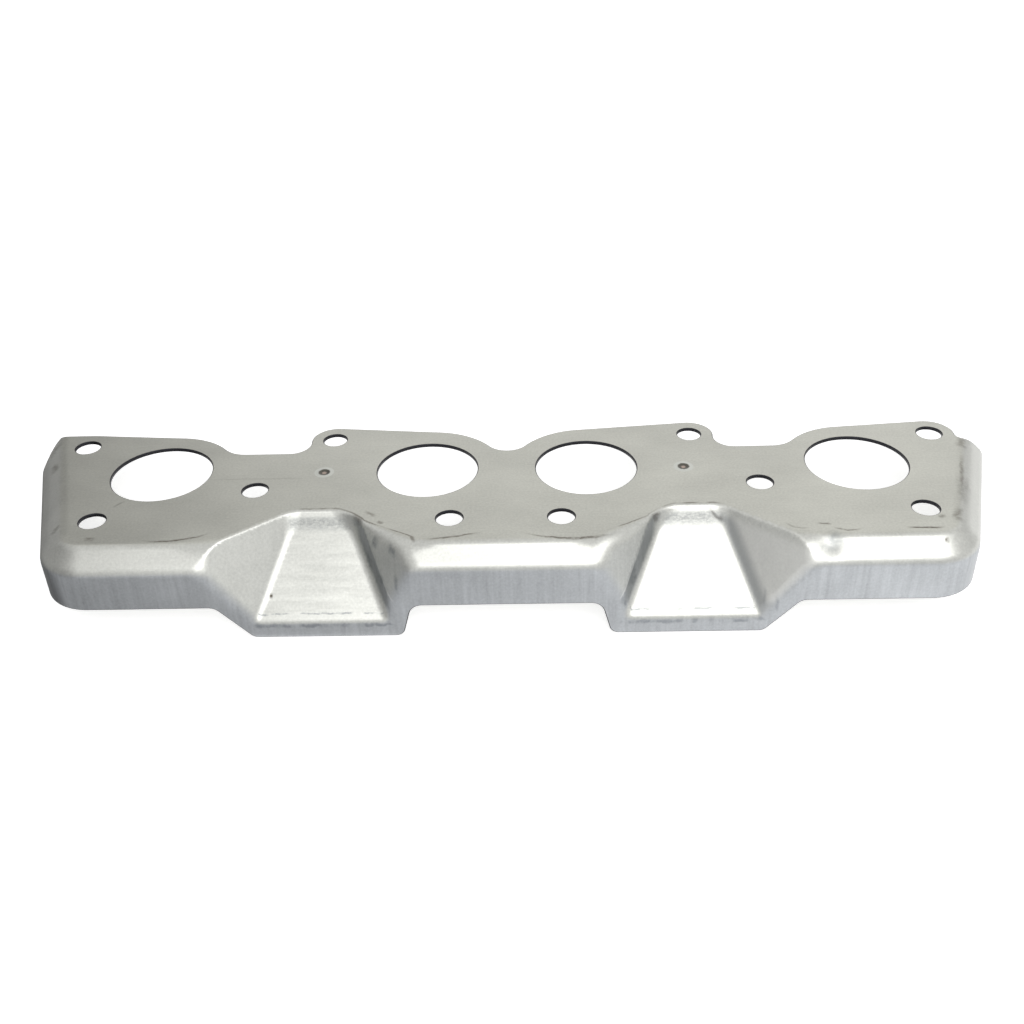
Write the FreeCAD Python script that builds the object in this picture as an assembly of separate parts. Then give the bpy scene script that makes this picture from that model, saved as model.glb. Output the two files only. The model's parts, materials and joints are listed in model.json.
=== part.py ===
"""Exhaust manifold gasket: one pressed steel sheet.

The plate carries four round ports, ten stud holes and two spot-weld marks. Its front edge and both
ends are turned down through a bevel into a skirt, and two drawn channels run from the plate down to
deeper flanges in the front skirt. The far edge is flat and follows the ports and studs in lobes.

The sheet is worked out in the plate's own frame (X along the row of ports, Y away from the front skirt,
Z out of the plate's outer face) and is then laid down as it comes to rest on a bench.
"""
import FreeCAD, Part
import math
import os

# Sheet and its holes, in millimetres
SHEET = 1.5
PORT_DIAMETER = 40.0
INNER_PORT_X = 31.6
OUTER_PORT_X = 138.5
STUD_HOLE_DIAMETER = 10.2
LOBE_HOLE_DIAMETER = 9.6

# Stud holes of the right half; the left half mirrors them, and a shift moves both of a pair to the right
END_STUD = (174.2, 21.9)
END_STUD_SHIFT = -1.1
FRONT_STUD = (156.5, -33.4)
CHANNEL_STUD = (98.3, -13.5)
LOBE_STUD = (73.5, 24.6)
LOBE_STUD_SHIFT = 1.6
MIDDLE_STUD = (21.0, -35.1)

# Spot-weld marks, one each side
WELD_X = 71.5
WELD_SHIFT = -1.4
WELD_Y = -1.0
WELD_DIAMETER = 4.2
WELD_DEPTH = 0.3

# Turned-down rim: outside faces measured from the row of ports
FRONT_FACE = 57.5
END_FACE = 189.5
END_TAPER_DEG = 18.2
RIM_CORNER_RADIUS = 20.0
BEVEL = 7.5
PLATE_BEND_RADIUS = 4.0
SKIRT_BEND_RADIUS = 6.0
SKIRT_DEPTH = 24.0

# Drawn channels of the right half; the left half mirrors them
CHANNEL_TOP_Y = -29.2
CHANNEL_TOP_INNER_X = 59.6
CHANNEL_TOP_OUTER_X = 75.6
CHANNEL_FOOT_DEPTH = 31.3
CHANNEL_FOOT_INNER_X = 43.8
CHANNEL_FOOT_OUTER_X = 94.0
INNER_WALL_PLAN_DEG = 40.0
OUTER_WALL_PLAN_DEG = 32.5
CHANNEL_VALLEY_RADIUS = 6.0
CHANNEL_RIM_RADIUS = 5.0

# Flange under each channel's foot
FLANGE_HEIGHT = 6.7
FLANGE_OUTER_MARGIN = 1.7
FLANGE_INNER_MARGIN = 4.8
FLANGE_OUTER_DEG = 47.0
FLANGE_INNER_DEG = 75.0
FLANGE_FOOT_RADIUS = 3.5
FLANGE_SHOULDER_RADIUS = 5.0

# Far edge: metal left round the ports and studs, and the hollows between the lobes
OUTER_PORT_MARGIN = 8.7
INNER_PORT_MARGIN = 10.0
STUD_MARGIN = 5.0
HOLLOW_Y = 14.2
HOLLOW_PORT_RADIUS = 12.0
HOLLOW_LOBE_RADIUS = 8.0
MIDDLE_HOLLOW_RADIUS = 9.0

# Far corners: the left one runs out square and is clipped to the end face, the right one follows its stud
LEFT_CORNER_INSET = 9.7
LEFT_CLIP_DEG = 77.0
RIGHT_SKIRT_END_Y = 18.0
RIGHT_NOTCH_RADIUS = 2.5

# Rear tails of the end skirts
TAIL_FOOT_Y = 14.0
TAIL_SLOPE_DEG = 40.0


def vector(x, y, z=0.0):
    """A point or direction in the plate's frame."""
    return FreeCAD.Vector(x, y, z)


def same(first, second):
    """Whether two lengths agree within the accuracy of the solids."""
    return math.isclose(first, second, abs_tol=1e-4)


def spare_room():
    """Room that every cutting shape reaches past the sheet: one port's width."""
    return PORT_DIAMETER


def end_face_x(y, inset=0.0):
    """Half length of the rim at a place across the plate, moved inwards by inset."""
    taper = math.radians(END_TAPER_DEG)
    return END_FACE + y * math.tan(taper) - inset / math.cos(taper)


def far_limit():
    """A line across the plate that lies well behind the far edge."""
    return OUTER_PORT_MARGIN + PORT_DIAMETER / 2 + spare_room()


def flange_depth():
    """Depth of the channel flanges below the plate's outer face."""
    return CHANNEL_FOOT_DEPTH + FLANGE_HEIGHT


def former_depth():
    """Depth of the formers, well below the deepest flange."""
    return flange_depth() + spare_room()


def level_edges(solid, height, far_y):
    """Edges that lie at one height, without those on the open far side."""
    found = []
    for edge in solid.Edges:
        level = all(same(v.Z, height) for v in edge.Vertexes)
        far = all(same(v.Y, far_y) for v in edge.Vertexes)
        if level and not far:
            found.append(edge)
    return found


def tray(inset):
    """The bent rim as a solid block: rounded front corners, a bevel and its two bends.

    Every face lies inset millimetres inside the outside of the sheet.
    """
    front_y = -FRONT_FACE + inset
    far_y = far_limit()
    corners = [
        vector(-end_face_x(far_y, inset), far_y),
        vector(-end_face_x(front_y, inset), front_y),
        vector(end_face_x(front_y, inset), front_y),
        vector(end_face_x(far_y, inset), far_y),
    ]
    block = Part.Face(Part.makePolygon(corners + corners[:1])).extrude(vector(0, 0, -former_depth()))
    block.translate(vector(0, 0, -inset))
    upright = [e for e in block.Edges if all(same(v.Y, front_y) for v in e.Vertexes)]
    upright = [e for e in upright if not same(e.Vertexes[0].Z, e.Vertexes[1].Z)]
    block = block.makeFillet(RIM_CORNER_RADIUS - inset, upright)
    bevel = BEVEL - (2.0 - math.sqrt(2.0)) * inset
    block = block.makeChamfer(bevel, level_edges(block, -inset, far_y))
    block = block.makeFillet(PLATE_BEND_RADIUS - inset, level_edges(block, -inset, far_y))
    return block.makeFillet(SKIRT_BEND_RADIUS - inset, level_edges(block, -inset - bevel, far_y))


def plane_through(first, second, third, outward, inset):
    """Unit normal and distance of the plane through three points, moved inwards by inset."""
    normal = (second - first).cross(third - first)
    normal.normalize()
    if normal.dot(outward) < 0:
        normal = normal * -1.0
    return normal, normal.dot(first) - inset


def meeting_point(first, second, third):
    """The point that three planes share."""
    across = [second[0].cross(third[0]), third[0].cross(first[0]), first[0].cross(second[0])]
    total = across[0] * first[1] + across[1] * second[1] + across[2] * third[1]
    return total * (1.0 / first[0].dot(across[0]))


def channel_planes(inset):
    """Floor, outer wall and inner wall of the right channel."""
    foot_y = -FRONT_FACE
    foot_z = -CHANNEL_FOOT_DEPTH
    top_outer = vector(CHANNEL_TOP_OUTER_X, CHANNEL_TOP_Y)
    top_inner = vector(CHANNEL_TOP_INNER_X, CHANNEL_TOP_Y)
    foot_outer = vector(CHANNEL_FOOT_OUTER_X, foot_y, foot_z)
    foot_inner = vector(CHANNEL_FOOT_INNER_X, foot_y, foot_z)
    outer_turn = math.radians(OUTER_WALL_PLAN_DEG)
    inner_turn = math.radians(INNER_WALL_PLAN_DEG)
    outer_mouth = top_outer + vector(math.cos(outer_turn), -math.sin(outer_turn))
    inner_mouth = top_inner + vector(-math.cos(inner_turn), -math.sin(inner_turn))
    floor = plane_through(top_inner, top_outer, foot_outer, vector(0, -1, 1), inset)
    outer = plane_through(top_outer, outer_mouth, foot_outer, vector(-1, -1, 1), inset)
    inner = plane_through(top_inner, inner_mouth, foot_inner, vector(1, -1, 1), inset)
    return floor, outer, inner


def channel_space(inset, side):
    """The space of one channel: a three-sided cone between floor and walls, its valleys rounded."""
    floor, outer, inner = channel_planes(inset)
    apex = meeting_point(floor, outer, inner)
    reach = 2.0 * END_FACE + former_depth()

    def ridge(first, second, third):
        along = first[0].cross(second[0])
        along.normalize()
        if along.dot(third[0]) < 0:
            along = along * -1.0
        return apex + along * reach

    def triangle(first, second, third):
        return Part.Face(Part.makePolygon([first, second, third, first]))

    outer_valley = ridge(floor, outer, inner)
    inner_valley = ridge(floor, inner, outer)
    open_ridge = ridge(outer, inner, floor)
    faces = [
        triangle(apex, outer_valley, inner_valley),
        triangle(apex, inner_valley, open_ridge),
        triangle(apex, open_ridge, outer_valley),
        triangle(outer_valley, open_ridge, inner_valley),
    ]
    cone = Part.Solid(Part.Shell(faces))
    if cone.Volume < 0:
        cone.reverse()
    room = Part.makeBox(
        2.0 * END_FACE, FRONT_FACE + spare_room(), former_depth() + SHEET,
        vector(-END_FACE, -FRONT_FACE - spare_room(), -former_depth() - inset))
    space = cone.common(room)

    def on_plane(plane, edge):
        return all(same(plane[0].dot(v.Point), plane[1]) for v in edge.Vertexes)

    valleys = [e for e in space.Edges if on_plane(floor, e) and (on_plane(outer, e) or on_plane(inner, e))]
    space = space.makeFillet(CHANNEL_VALLEY_RADIUS + inset, valleys)
    return space if side > 0 else space.mirror(vector(0, 0), vector(1, 0))


def shared_edges(solid, first, second):
    """Edges of a solid that lie on the skins of two other solids."""
    found = []
    for edge in solid.Edges:
        middle = Part.Vertex(edge.valueAt((edge.FirstParameter + edge.LastParameter) / 2.0))
        if all(same(middle.distToShape(other.Shells[0])[0], 0.0) for other in (first, second)):
            found.append(edge)
    return found


def former(inset):
    """The block that the sheet is pressed over, inset millimetres inside the outside of the sheet."""
    block = tray(inset)
    for side in (-1, 1):
        space = channel_space(inset, side)
        cut = block.cut(space)
        rim = shared_edges(cut, block, space)
        block = cut.Solids[0].makeFillet(CHANNEL_RIM_RADIUS - inset, rim)
    return block


def polar(centre, radius, angle):
    """The point at a distance and an angle, in radians, from a centre."""
    return vector(centre.x + radius * math.cos(angle), centre.y + radius * math.sin(angle))


def arc(centre, radius, start, end):
    """Arc about a centre from one angle to another, in radians."""
    points = [polar(centre, radius, a) for a in (start, (start + end) / 2.0, end)]
    return Part.Arc(*points).toShape()


def bearing(centre, point):
    """Angle of a point seen from a centre, from 0 at +X round by +Y."""
    return math.atan2(point.y - centre.y, point.x - centre.x)


def tangent_angle(first, first_radius, second, second_radius):
    """Angle of the shared outward normal where one line touches two circles on their far sides."""
    span = second - first
    turn = math.acos((first_radius - second_radius) / span.Length)
    return math.atan2(span.y, span.x) + turn


def end_stud_place(side):
    """End stud of one side, -1 or 1, folded to the right half."""
    return vector(END_STUD[0] + side * END_STUD_SHIFT, END_STUD[1])


def lobe_stud_place(side):
    """Lobe stud of one side, -1 or 1, folded to the right half."""
    return vector(LOBE_STUD[0] + side * LOBE_STUD_SHIFT, LOBE_STUD[1])


def half_far_edge(side, end_angle):
    """Far edge of one side, folded to the right half, from the middle to an angle on the end stud's lobe."""
    inner_port = vector(INNER_PORT_X, 0)
    outer_port = vector(OUTER_PORT_X, 0)
    lobe_stud = lobe_stud_place(side)
    end_stud = end_stud_place(side)
    inner_radius = PORT_DIAMETER / 2 + INNER_PORT_MARGIN
    outer_radius = PORT_DIAMETER / 2 + OUTER_PORT_MARGIN
    lobe_radius = LOBE_HOLE_DIAMETER / 2 + STUD_MARGIN
    end_radius = STUD_HOLE_DIAMETER / 2 + STUD_MARGIN

    middle_reach = inner_radius + MIDDLE_HOLLOW_RADIUS
    middle_hollow = vector(0, math.sqrt(middle_reach ** 2 - INNER_PORT_X ** 2))
    lobe_rise = HOLLOW_Y + HOLLOW_LOBE_RADIUS - lobe_stud.y
    lobe_run = math.sqrt((lobe_radius + HOLLOW_LOBE_RADIUS) ** 2 - lobe_rise ** 2)
    lobe_hollow = vector(lobe_stud.x + lobe_run, HOLLOW_Y + HOLLOW_LOBE_RADIUS)
    port_rise = HOLLOW_Y + HOLLOW_PORT_RADIUS
    port_run = math.sqrt((outer_radius + HOLLOW_PORT_RADIUS) ** 2 - port_rise ** 2)
    port_hollow = vector(OUTER_PORT_X - port_run, port_rise)

    inner_line = tangent_angle(inner_port, inner_radius, lobe_stud, lobe_radius)
    outer_line = tangent_angle(outer_port, outer_radius, end_stud, end_radius)
    down = -math.pi / 2.0
    return [
        arc(middle_hollow, MIDDLE_HOLLOW_RADIUS, down, bearing(middle_hollow, inner_port)),
        arc(inner_port, inner_radius, bearing(inner_port, middle_hollow), inner_line),
        Part.makeLine(polar(inner_port, inner_radius, inner_line), polar(lobe_stud, lobe_radius, inner_line)),
        arc(lobe_stud, lobe_radius, inner_line, bearing(lobe_stud, lobe_hollow)),
        arc(lobe_hollow, HOLLOW_LOBE_RADIUS, bearing(lobe_hollow, lobe_stud) % math.tau, down + math.tau),
        Part.makeLine(vector(lobe_hollow.x, HOLLOW_Y), vector(port_hollow.x, HOLLOW_Y)),
        arc(port_hollow, HOLLOW_PORT_RADIUS, down, bearing(port_hollow, outer_port)),
        arc(outer_port, outer_radius, bearing(outer_port, port_hollow), outer_line),
        Part.makeLine(polar(outer_port, outer_radius, outer_line), polar(end_stud, end_radius, outer_line)),
        arc(end_stud, end_radius, outer_line, end_angle),
    ]


def plate_outline():
    """The region in plan that keeps the sheet: everything in front of the far edge."""
    end_stud = end_stud_place(1)
    end_radius = STUD_HOLE_DIAMETER / 2 + STUD_MARGIN
    side_x = end_face_x(far_limit()) + spare_room()
    front_y = -FRONT_FACE - spare_room()

    notch_y = RIGHT_SKIRT_END_Y + RIGHT_NOTCH_RADIUS
    notch_run = math.sqrt((end_radius + RIGHT_NOTCH_RADIUS) ** 2 - (notch_y - end_stud.y) ** 2)
    notch = vector(end_stud.x + notch_run, notch_y)
    up = math.pi / 2.0
    right = half_far_edge(1, bearing(end_stud, notch))
    left = [e.mirror(vector(0, 0), vector(1, 0)) for e in half_far_edge(-1, up)]

    left_top = vector(-end_stud_place(-1).x, end_stud.y + end_radius)
    left_corner = vector(LEFT_CORNER_INSET - end_face_x(left_top.y), left_top.y)
    clip_lean = 1.0 / math.tan(math.radians(LEFT_CLIP_DEG))
    clip_run = LEFT_CORNER_INSET / (math.tan(math.radians(END_TAPER_DEG)) + clip_lean) + 2.0 * SHEET
    clip_end = left_corner - vector(clip_run * clip_lean, clip_run)
    far_left = vector(-side_x, clip_end.y)
    far_right = vector(side_x, RIGHT_SKIRT_END_Y)
    rest = [
        arc(notch, RIGHT_NOTCH_RADIUS, bearing(notch, end_stud), 1.5 * math.pi),
        Part.makeLine(vector(notch.x, RIGHT_SKIRT_END_Y), far_right),
        Part.makeLine(far_right, vector(side_x, front_y)),
        Part.makeLine(vector(side_x, front_y), vector(-side_x, front_y)),
        Part.makeLine(vector(-side_x, front_y), far_left),
        Part.makeLine(far_left, clip_end),
        Part.makeLine(clip_end, left_corner),
        Part.makeLine(left_corner, left_top),
    ]
    return Part.Face(Part.Wire(Part.__sortEdges__(left + right + rest)))


def rounded_outline(corners):
    """Face inside a closed outline whose corners are given as (point, radius)."""
    edges = []
    last = None
    first = None
    count = len(corners)
    for index, (point, radius) in enumerate(corners):
        before = corners[index - 1][0] - point
        after = corners[(index + 1) % count][0] - point
        half = before.getAngle(after) / 2.0
        before.normalize()
        after.normalize()
        reach = radius / math.tan(half)
        start = point + before * reach
        end = point + after * reach
        if last is None:
            first = start
        else:
            edges.append(Part.makeLine(last, start))
        if radius > 0:
            inward = (before + after).normalize()
            middle = point + inward * (radius / math.sin(half) - radius)
            edges.append(Part.Arc(start, middle, end).toShape())
        last = end
    edges.append(Part.makeLine(last, first))
    return Part.Face(Part.Wire(edges))


def skirt_outline():
    """The region in front view that keeps the sheet: above the skirt's foot and the channel flanges."""
    foot = -flange_depth()
    shoulder = -SKIRT_DEPTH
    drop = shoulder - foot
    outer_foot = CHANNEL_FOOT_OUTER_X + FLANGE_OUTER_MARGIN
    inner_foot = CHANNEL_FOOT_INNER_X - FLANGE_INNER_MARGIN
    outer_shoulder = outer_foot + drop / math.tan(math.radians(FLANGE_OUTER_DEG))
    inner_shoulder = inner_foot - drop / math.tan(math.radians(FLANGE_INNER_DEG))
    steps = [
        (outer_shoulder, shoulder, FLANGE_SHOULDER_RADIUS),
        (outer_foot, foot, FLANGE_FOOT_RADIUS),
        (inner_foot, foot, FLANGE_FOOT_RADIUS),
        (inner_shoulder, shoulder, FLANGE_SHOULDER_RADIUS),
    ]
    side_x = end_face_x(far_limit()) + spare_room()
    outline = [(-side_x, spare_room(), 0.0), (-side_x, shoulder, 0.0)]
    outline += [(-x, z, radius) for x, z, radius in steps]
    outline += reversed(steps)
    outline += [(side_x, shoulder, 0.0), (side_x, spare_room(), 0.0)]
    return rounded_outline([(vector(x, 0, z), radius) for x, z, radius in outline])


def skirt_tails():
    """The space behind the end skirts, which slopes up and back from their feet."""
    side_x = end_face_x(far_limit()) + spare_room()
    rise = math.tan(math.radians(TAIL_SLOPE_DEG))
    far_y = TAIL_FOOT_Y + (SKIRT_DEPTH - BEVEL - SHEET) / rise
    corners = [
        vector(-side_x, TAIL_FOOT_Y, -former_depth()),
        vector(-side_x, TAIL_FOOT_Y, -SKIRT_DEPTH),
        vector(-side_x, far_y, -BEVEL - SHEET),
        vector(-side_x, far_limit(), -BEVEL - SHEET),
        vector(-side_x, far_limit(), -former_depth()),
    ]
    return Part.Face(Part.makePolygon(corners + corners[:1])).extrude(vector(2.0 * side_x, 0))


def holes():
    """Ports, stud holes and weld marks as one tool."""
    drills = []
    for side in (-1, 1):
        for x in (INNER_PORT_X, OUTER_PORT_X):
            drills.append((side * x, 0.0, PORT_DIAMETER, 2.0 * SHEET))
        for x, y in (FRONT_STUD, CHANNEL_STUD, MIDDLE_STUD):
            drills.append((side * x, y, STUD_HOLE_DIAMETER, 2.0 * SHEET))
        drills.append((side * end_stud_place(side).x, END_STUD[1], STUD_HOLE_DIAMETER, 2.0 * SHEET))
        drills.append((side * lobe_stud_place(side).x, LOBE_STUD[1], LOBE_HOLE_DIAMETER, 2.0 * SHEET))
        drills.append((side * WELD_X + WELD_SHIFT, WELD_Y, WELD_DIAMETER, WELD_DEPTH))
    cylinders = [
        Part.makeCylinder(diameter / 2.0, depth + SHEET, vector(x, y, -depth))
        for x, y, diameter, depth in drills
    ]
    return Part.makeCompound(cylinders)


def gasket():
    """The finished sheet in the plate's frame."""
    sheet = former(0.0).cut(former(SHEET))
    plan = plate_outline()
    plan.translate(vector(0, 0, -former_depth()))
    sheet = sheet.common(plan.extrude(vector(0, 0, former_depth() + spare_room())))
    front = skirt_outline()
    front.translate(vector(0, -FRONT_FACE - spare_room()))
    sheet = sheet.common(front.extrude(vector(0, FRONT_FACE + far_limit() + 2.0 * spare_room())))
    sheet = sheet.cut(skirt_tails()).cut(holes())
    return max(sheet.Solids, key=lambda solid: solid.Volume)


def rest_tilt_deg():
    """Tilt at which the channel flanges and the tails of the end skirts stand on one plane."""
    rise = flange_depth() - SKIRT_DEPTH
    run = TAIL_FOOT_Y + FRONT_FACE - SHEET
    return math.degrees(math.atan2(rise, run))


def lay_down(shape):
    """Turn the sheet to its rest and set it on Z = 0, centred over the origin."""
    shape.rotate(vector(0, 0), vector(1, 0), -rest_tilt_deg())
    box = shape.optimalBoundingBox(False)
    shape.translate(vector(-box.Center.x, -box.Center.y, -box.ZMin))
    return shape


def main():
    """Build the gasket and write it."""
    os.makedirs("parts", exist_ok=True)
    lay_down(gasket()).exportStep("parts/gasket_sheet.step")


main()
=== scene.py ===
"""Pressed steel exhaust gasket on a white bench, seen as in its photograph.

The sheet is worked out in millimetres in the plate's own frame: X along the row of ports, Y away from
the front skirt and Z out of the plate's outer face. It is then laid down as it rests on the bench and
put into its mesh in metres.
"""

import json
import logging
import math
from collections.abc import Callable
from dataclasses import dataclass, field
from enum import Enum

import bpy
import numpy as np
from mathutils import Matrix

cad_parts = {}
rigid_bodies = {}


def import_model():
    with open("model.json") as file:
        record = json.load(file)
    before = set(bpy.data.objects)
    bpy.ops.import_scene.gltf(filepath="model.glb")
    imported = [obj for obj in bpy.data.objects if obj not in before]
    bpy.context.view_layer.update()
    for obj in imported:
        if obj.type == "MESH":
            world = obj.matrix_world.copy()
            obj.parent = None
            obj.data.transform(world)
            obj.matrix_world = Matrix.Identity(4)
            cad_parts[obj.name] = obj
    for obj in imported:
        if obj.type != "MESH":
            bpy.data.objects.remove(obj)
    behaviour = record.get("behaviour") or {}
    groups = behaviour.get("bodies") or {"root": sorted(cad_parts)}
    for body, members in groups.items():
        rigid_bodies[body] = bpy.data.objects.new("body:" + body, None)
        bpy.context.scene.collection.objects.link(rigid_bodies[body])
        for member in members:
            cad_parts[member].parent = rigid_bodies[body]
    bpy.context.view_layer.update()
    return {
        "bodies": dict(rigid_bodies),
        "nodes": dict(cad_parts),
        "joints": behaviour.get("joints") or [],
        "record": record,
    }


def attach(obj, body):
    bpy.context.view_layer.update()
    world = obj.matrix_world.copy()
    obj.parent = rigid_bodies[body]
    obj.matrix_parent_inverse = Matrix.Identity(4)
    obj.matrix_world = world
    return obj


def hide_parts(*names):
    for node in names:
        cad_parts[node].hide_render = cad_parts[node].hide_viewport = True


Array = np.ndarray
Node = bpy.types.Node
Socket = bpy.types.NodeSocket
Tree = bpy.types.NodeTree
Material = bpy.types.Material
Pair = tuple[float, float]
Triple = tuple[float, float, float]
Colour = tuple[float, float, float, float]
Names = tuple[str, ...]
LOG = logging.getLogger("gasket")
MM = 0.001
TINY = 1e-12
PARALLEL = 0.999
UP = np.array([0.0, 0.0, 1.0])
FADE = (1.0, 0.0)
WHITE = (1.0, 1.0, 1.0, 1.0)
BLACK = (0.0, 0.0, 0.0, 1.0)
MIX_INPUTS = (0, 6, 7)
MIX_RESULT = 2


class Side(Enum):
    """Halves of the sheet, by the sign of X."""

    LEFT = -1.0
    RIGHT = 1.0


class Face(Enum):
    """Material slots of the sheet, in order."""

    SKIN = 0
    CUT_EDGE = 1
    WELD = 2


@dataclass
class Field:
    """A distance field at many points: its value, and its slope as one vector for each point."""

    value: Array
    slope: Array

    def __neg__(self) -> "Field":
        """The same field with inside and outside swapped."""
        return Field(-self.value, -self.slope)

    def where(self, mask: Array, other: "Field") -> "Field":
        """This field where the mask holds, and the other one elsewhere."""
        value = np.where(mask, self.value, other.value)
        return Field(value, np.where(mask[:, None], self.slope, other.slope))


def plane(points: Array, normal: Array, through: Array) -> Field:
    """Signed distance to a plane: the offset from a point on it, projected on its unit normal.

    Args:
        points: places, one row each.
        normal: unit normal, pointing out.
        through: a point on the plane.

    Returns:
        The field, with the normal as its slope everywhere.
    """
    normal = np.asarray(normal, float)
    value = (points - np.asarray(through, float)) @ normal
    return Field(value, np.broadcast_to(normal, points.shape))


def disc(points: Array, centre: Pair, radius: float) -> Field:
    """Signed distance in plan to a circle: distance from its centre less its radius.

    Args:
        points: places, one row each.
        centre: centre in plan.
        radius: radius of the circle.

    Returns:
        The field, negative inside the circle.
    """
    across = points[:, :2] - np.asarray(centre)
    reach = np.maximum(np.hypot(across[:, 0], across[:, 1]), TINY)
    slope = np.column_stack([across / reach[:, None], np.zeros(len(points))])
    return Field(reach - radius, slope)


def larger(first: Field, second: Field) -> Field:
    """The larger of two fields: what lies inside both, with a sharp edge."""
    return first.where(first.value > second.value, second)


def round_max(first: Field, second: Field, radius: float) -> Field:
    """What lies inside both fields, with the edge between them rounded to a radius.

    Both faces are drawn back by the radius. Where a point lies beyond both drawn-back faces, its place is
    written as a sum of the two normals, and the field is the length of that sum less the radius.

    Args:
        first: one field.
        second: the other field.
        radius: radius of the rounded edge.

    Returns:
        The rounded field.
    """
    a = first.value + radius
    b = second.value + radius
    lean = np.clip(row_dot(first.slope, second.slope), -PARALLEL, PARALLEL)
    spread = 1.0 - lean ** 2
    part_a = (a - b * lean) / spread
    part_b = (b - a * lean) / spread
    bent = (part_a > 0.0) & (part_b > 0.0)
    length = np.sqrt(np.maximum(a * a + b * b - 2.0 * a * b * lean, TINY) / spread)
    turned = (part_a[:, None] * first.slope + part_b[:, None] * second.slope) / length[:, None]
    return Field(length - radius, turned).where(bent, larger(first, second))


def round_min(first: Field, second: Field, radius: float) -> Field:
    """What lies inside either field, with the hollow between them rounded to a radius."""
    return -round_max(-first, -second, radius)


def hollow(
        kept: Field, points: Array, centre: Array, radius: float, toward: tuple[Array, Array],
        span: float = 2.4) -> Field:
    """Round the hollow between two lobes with an arc.

    Between the two directions from the arc's centre, and within a span of it, the field is the radius less
    the distance from that centre. Elsewhere the field stays.

    Args:
        kept: field in plan of the metal that is kept.
        points: places, one row each.
        centre: centre of the arc in plan.
        radius: radius of the arc.
        toward: the two directions in plan that bound the arc.
        span: how far from its centre the arc counts, in radii.

    Returns:
        The field with the rounded hollow.
    """
    first, second = (np.asarray(d, float) for d in toward)
    away = points[:, :2] - np.asarray(centre)
    turn = first[0] * second[1] - first[1] * second[0]
    part_a = (away[:, 0] * second[1] - away[:, 1] * second[0]) / turn
    part_b = (first[0] * away[:, 1] - first[1] * away[:, 0]) / turn
    inside = (part_a >= 0.0) & (part_b >= 0.0) & (np.hypot(away[:, 0], away[:, 1]) < span * radius)
    return (-disc(points, tuple(centre), radius)).where(inside, kept)


def smooth(low: float, high: float, value: Array) -> Array:
    """Ease from 0 at low to 1 at high: three t squared less two t cubed."""
    t = np.clip((value - low) / (high - low), 0.0, 1.0)
    return t * t * (3.0 - 2.0 * t)


def between(first: object, second: object, share: Array) -> Array:
    """Values a share of the way from one to another."""
    return first + (second - first) * share


def fold(points: Array) -> Array:
    """Factors that mirror the points of the left half to the right half, one row each."""
    return np.column_stack([np.where(points[:, 0] < 0.0, -1.0, 1.0), np.ones((len(points), 2))])


def row_dot(first: Array, second: Array) -> Array:
    """Dot product of each row with its partner."""
    return np.einsum("ij,ij->i", first, second)


def halved(inside: Callable[[Array], Array], low: Array, high: Array, rounds: int) -> tuple[Array, Array]:
    """Narrow ranges by halving.

    Args:
        inside: tells where values lie inside.
        low: values inside.
        high: values outside.
        rounds: how often the ranges are halved.

    Returns:
        The last inside and outside values.
    """
    for _ in range(rounds):
        middle = (low + high) / 2
        within = inside(middle)
        low = np.where(within, middle, low)
        high = np.where(within, high, middle)
    return low, high


def unit(vectors: Array) -> Array:
    """Rows scaled to length one."""
    return vectors / np.maximum(np.linalg.norm(vectors, axis=1, keepdims=True), TINY)


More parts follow.
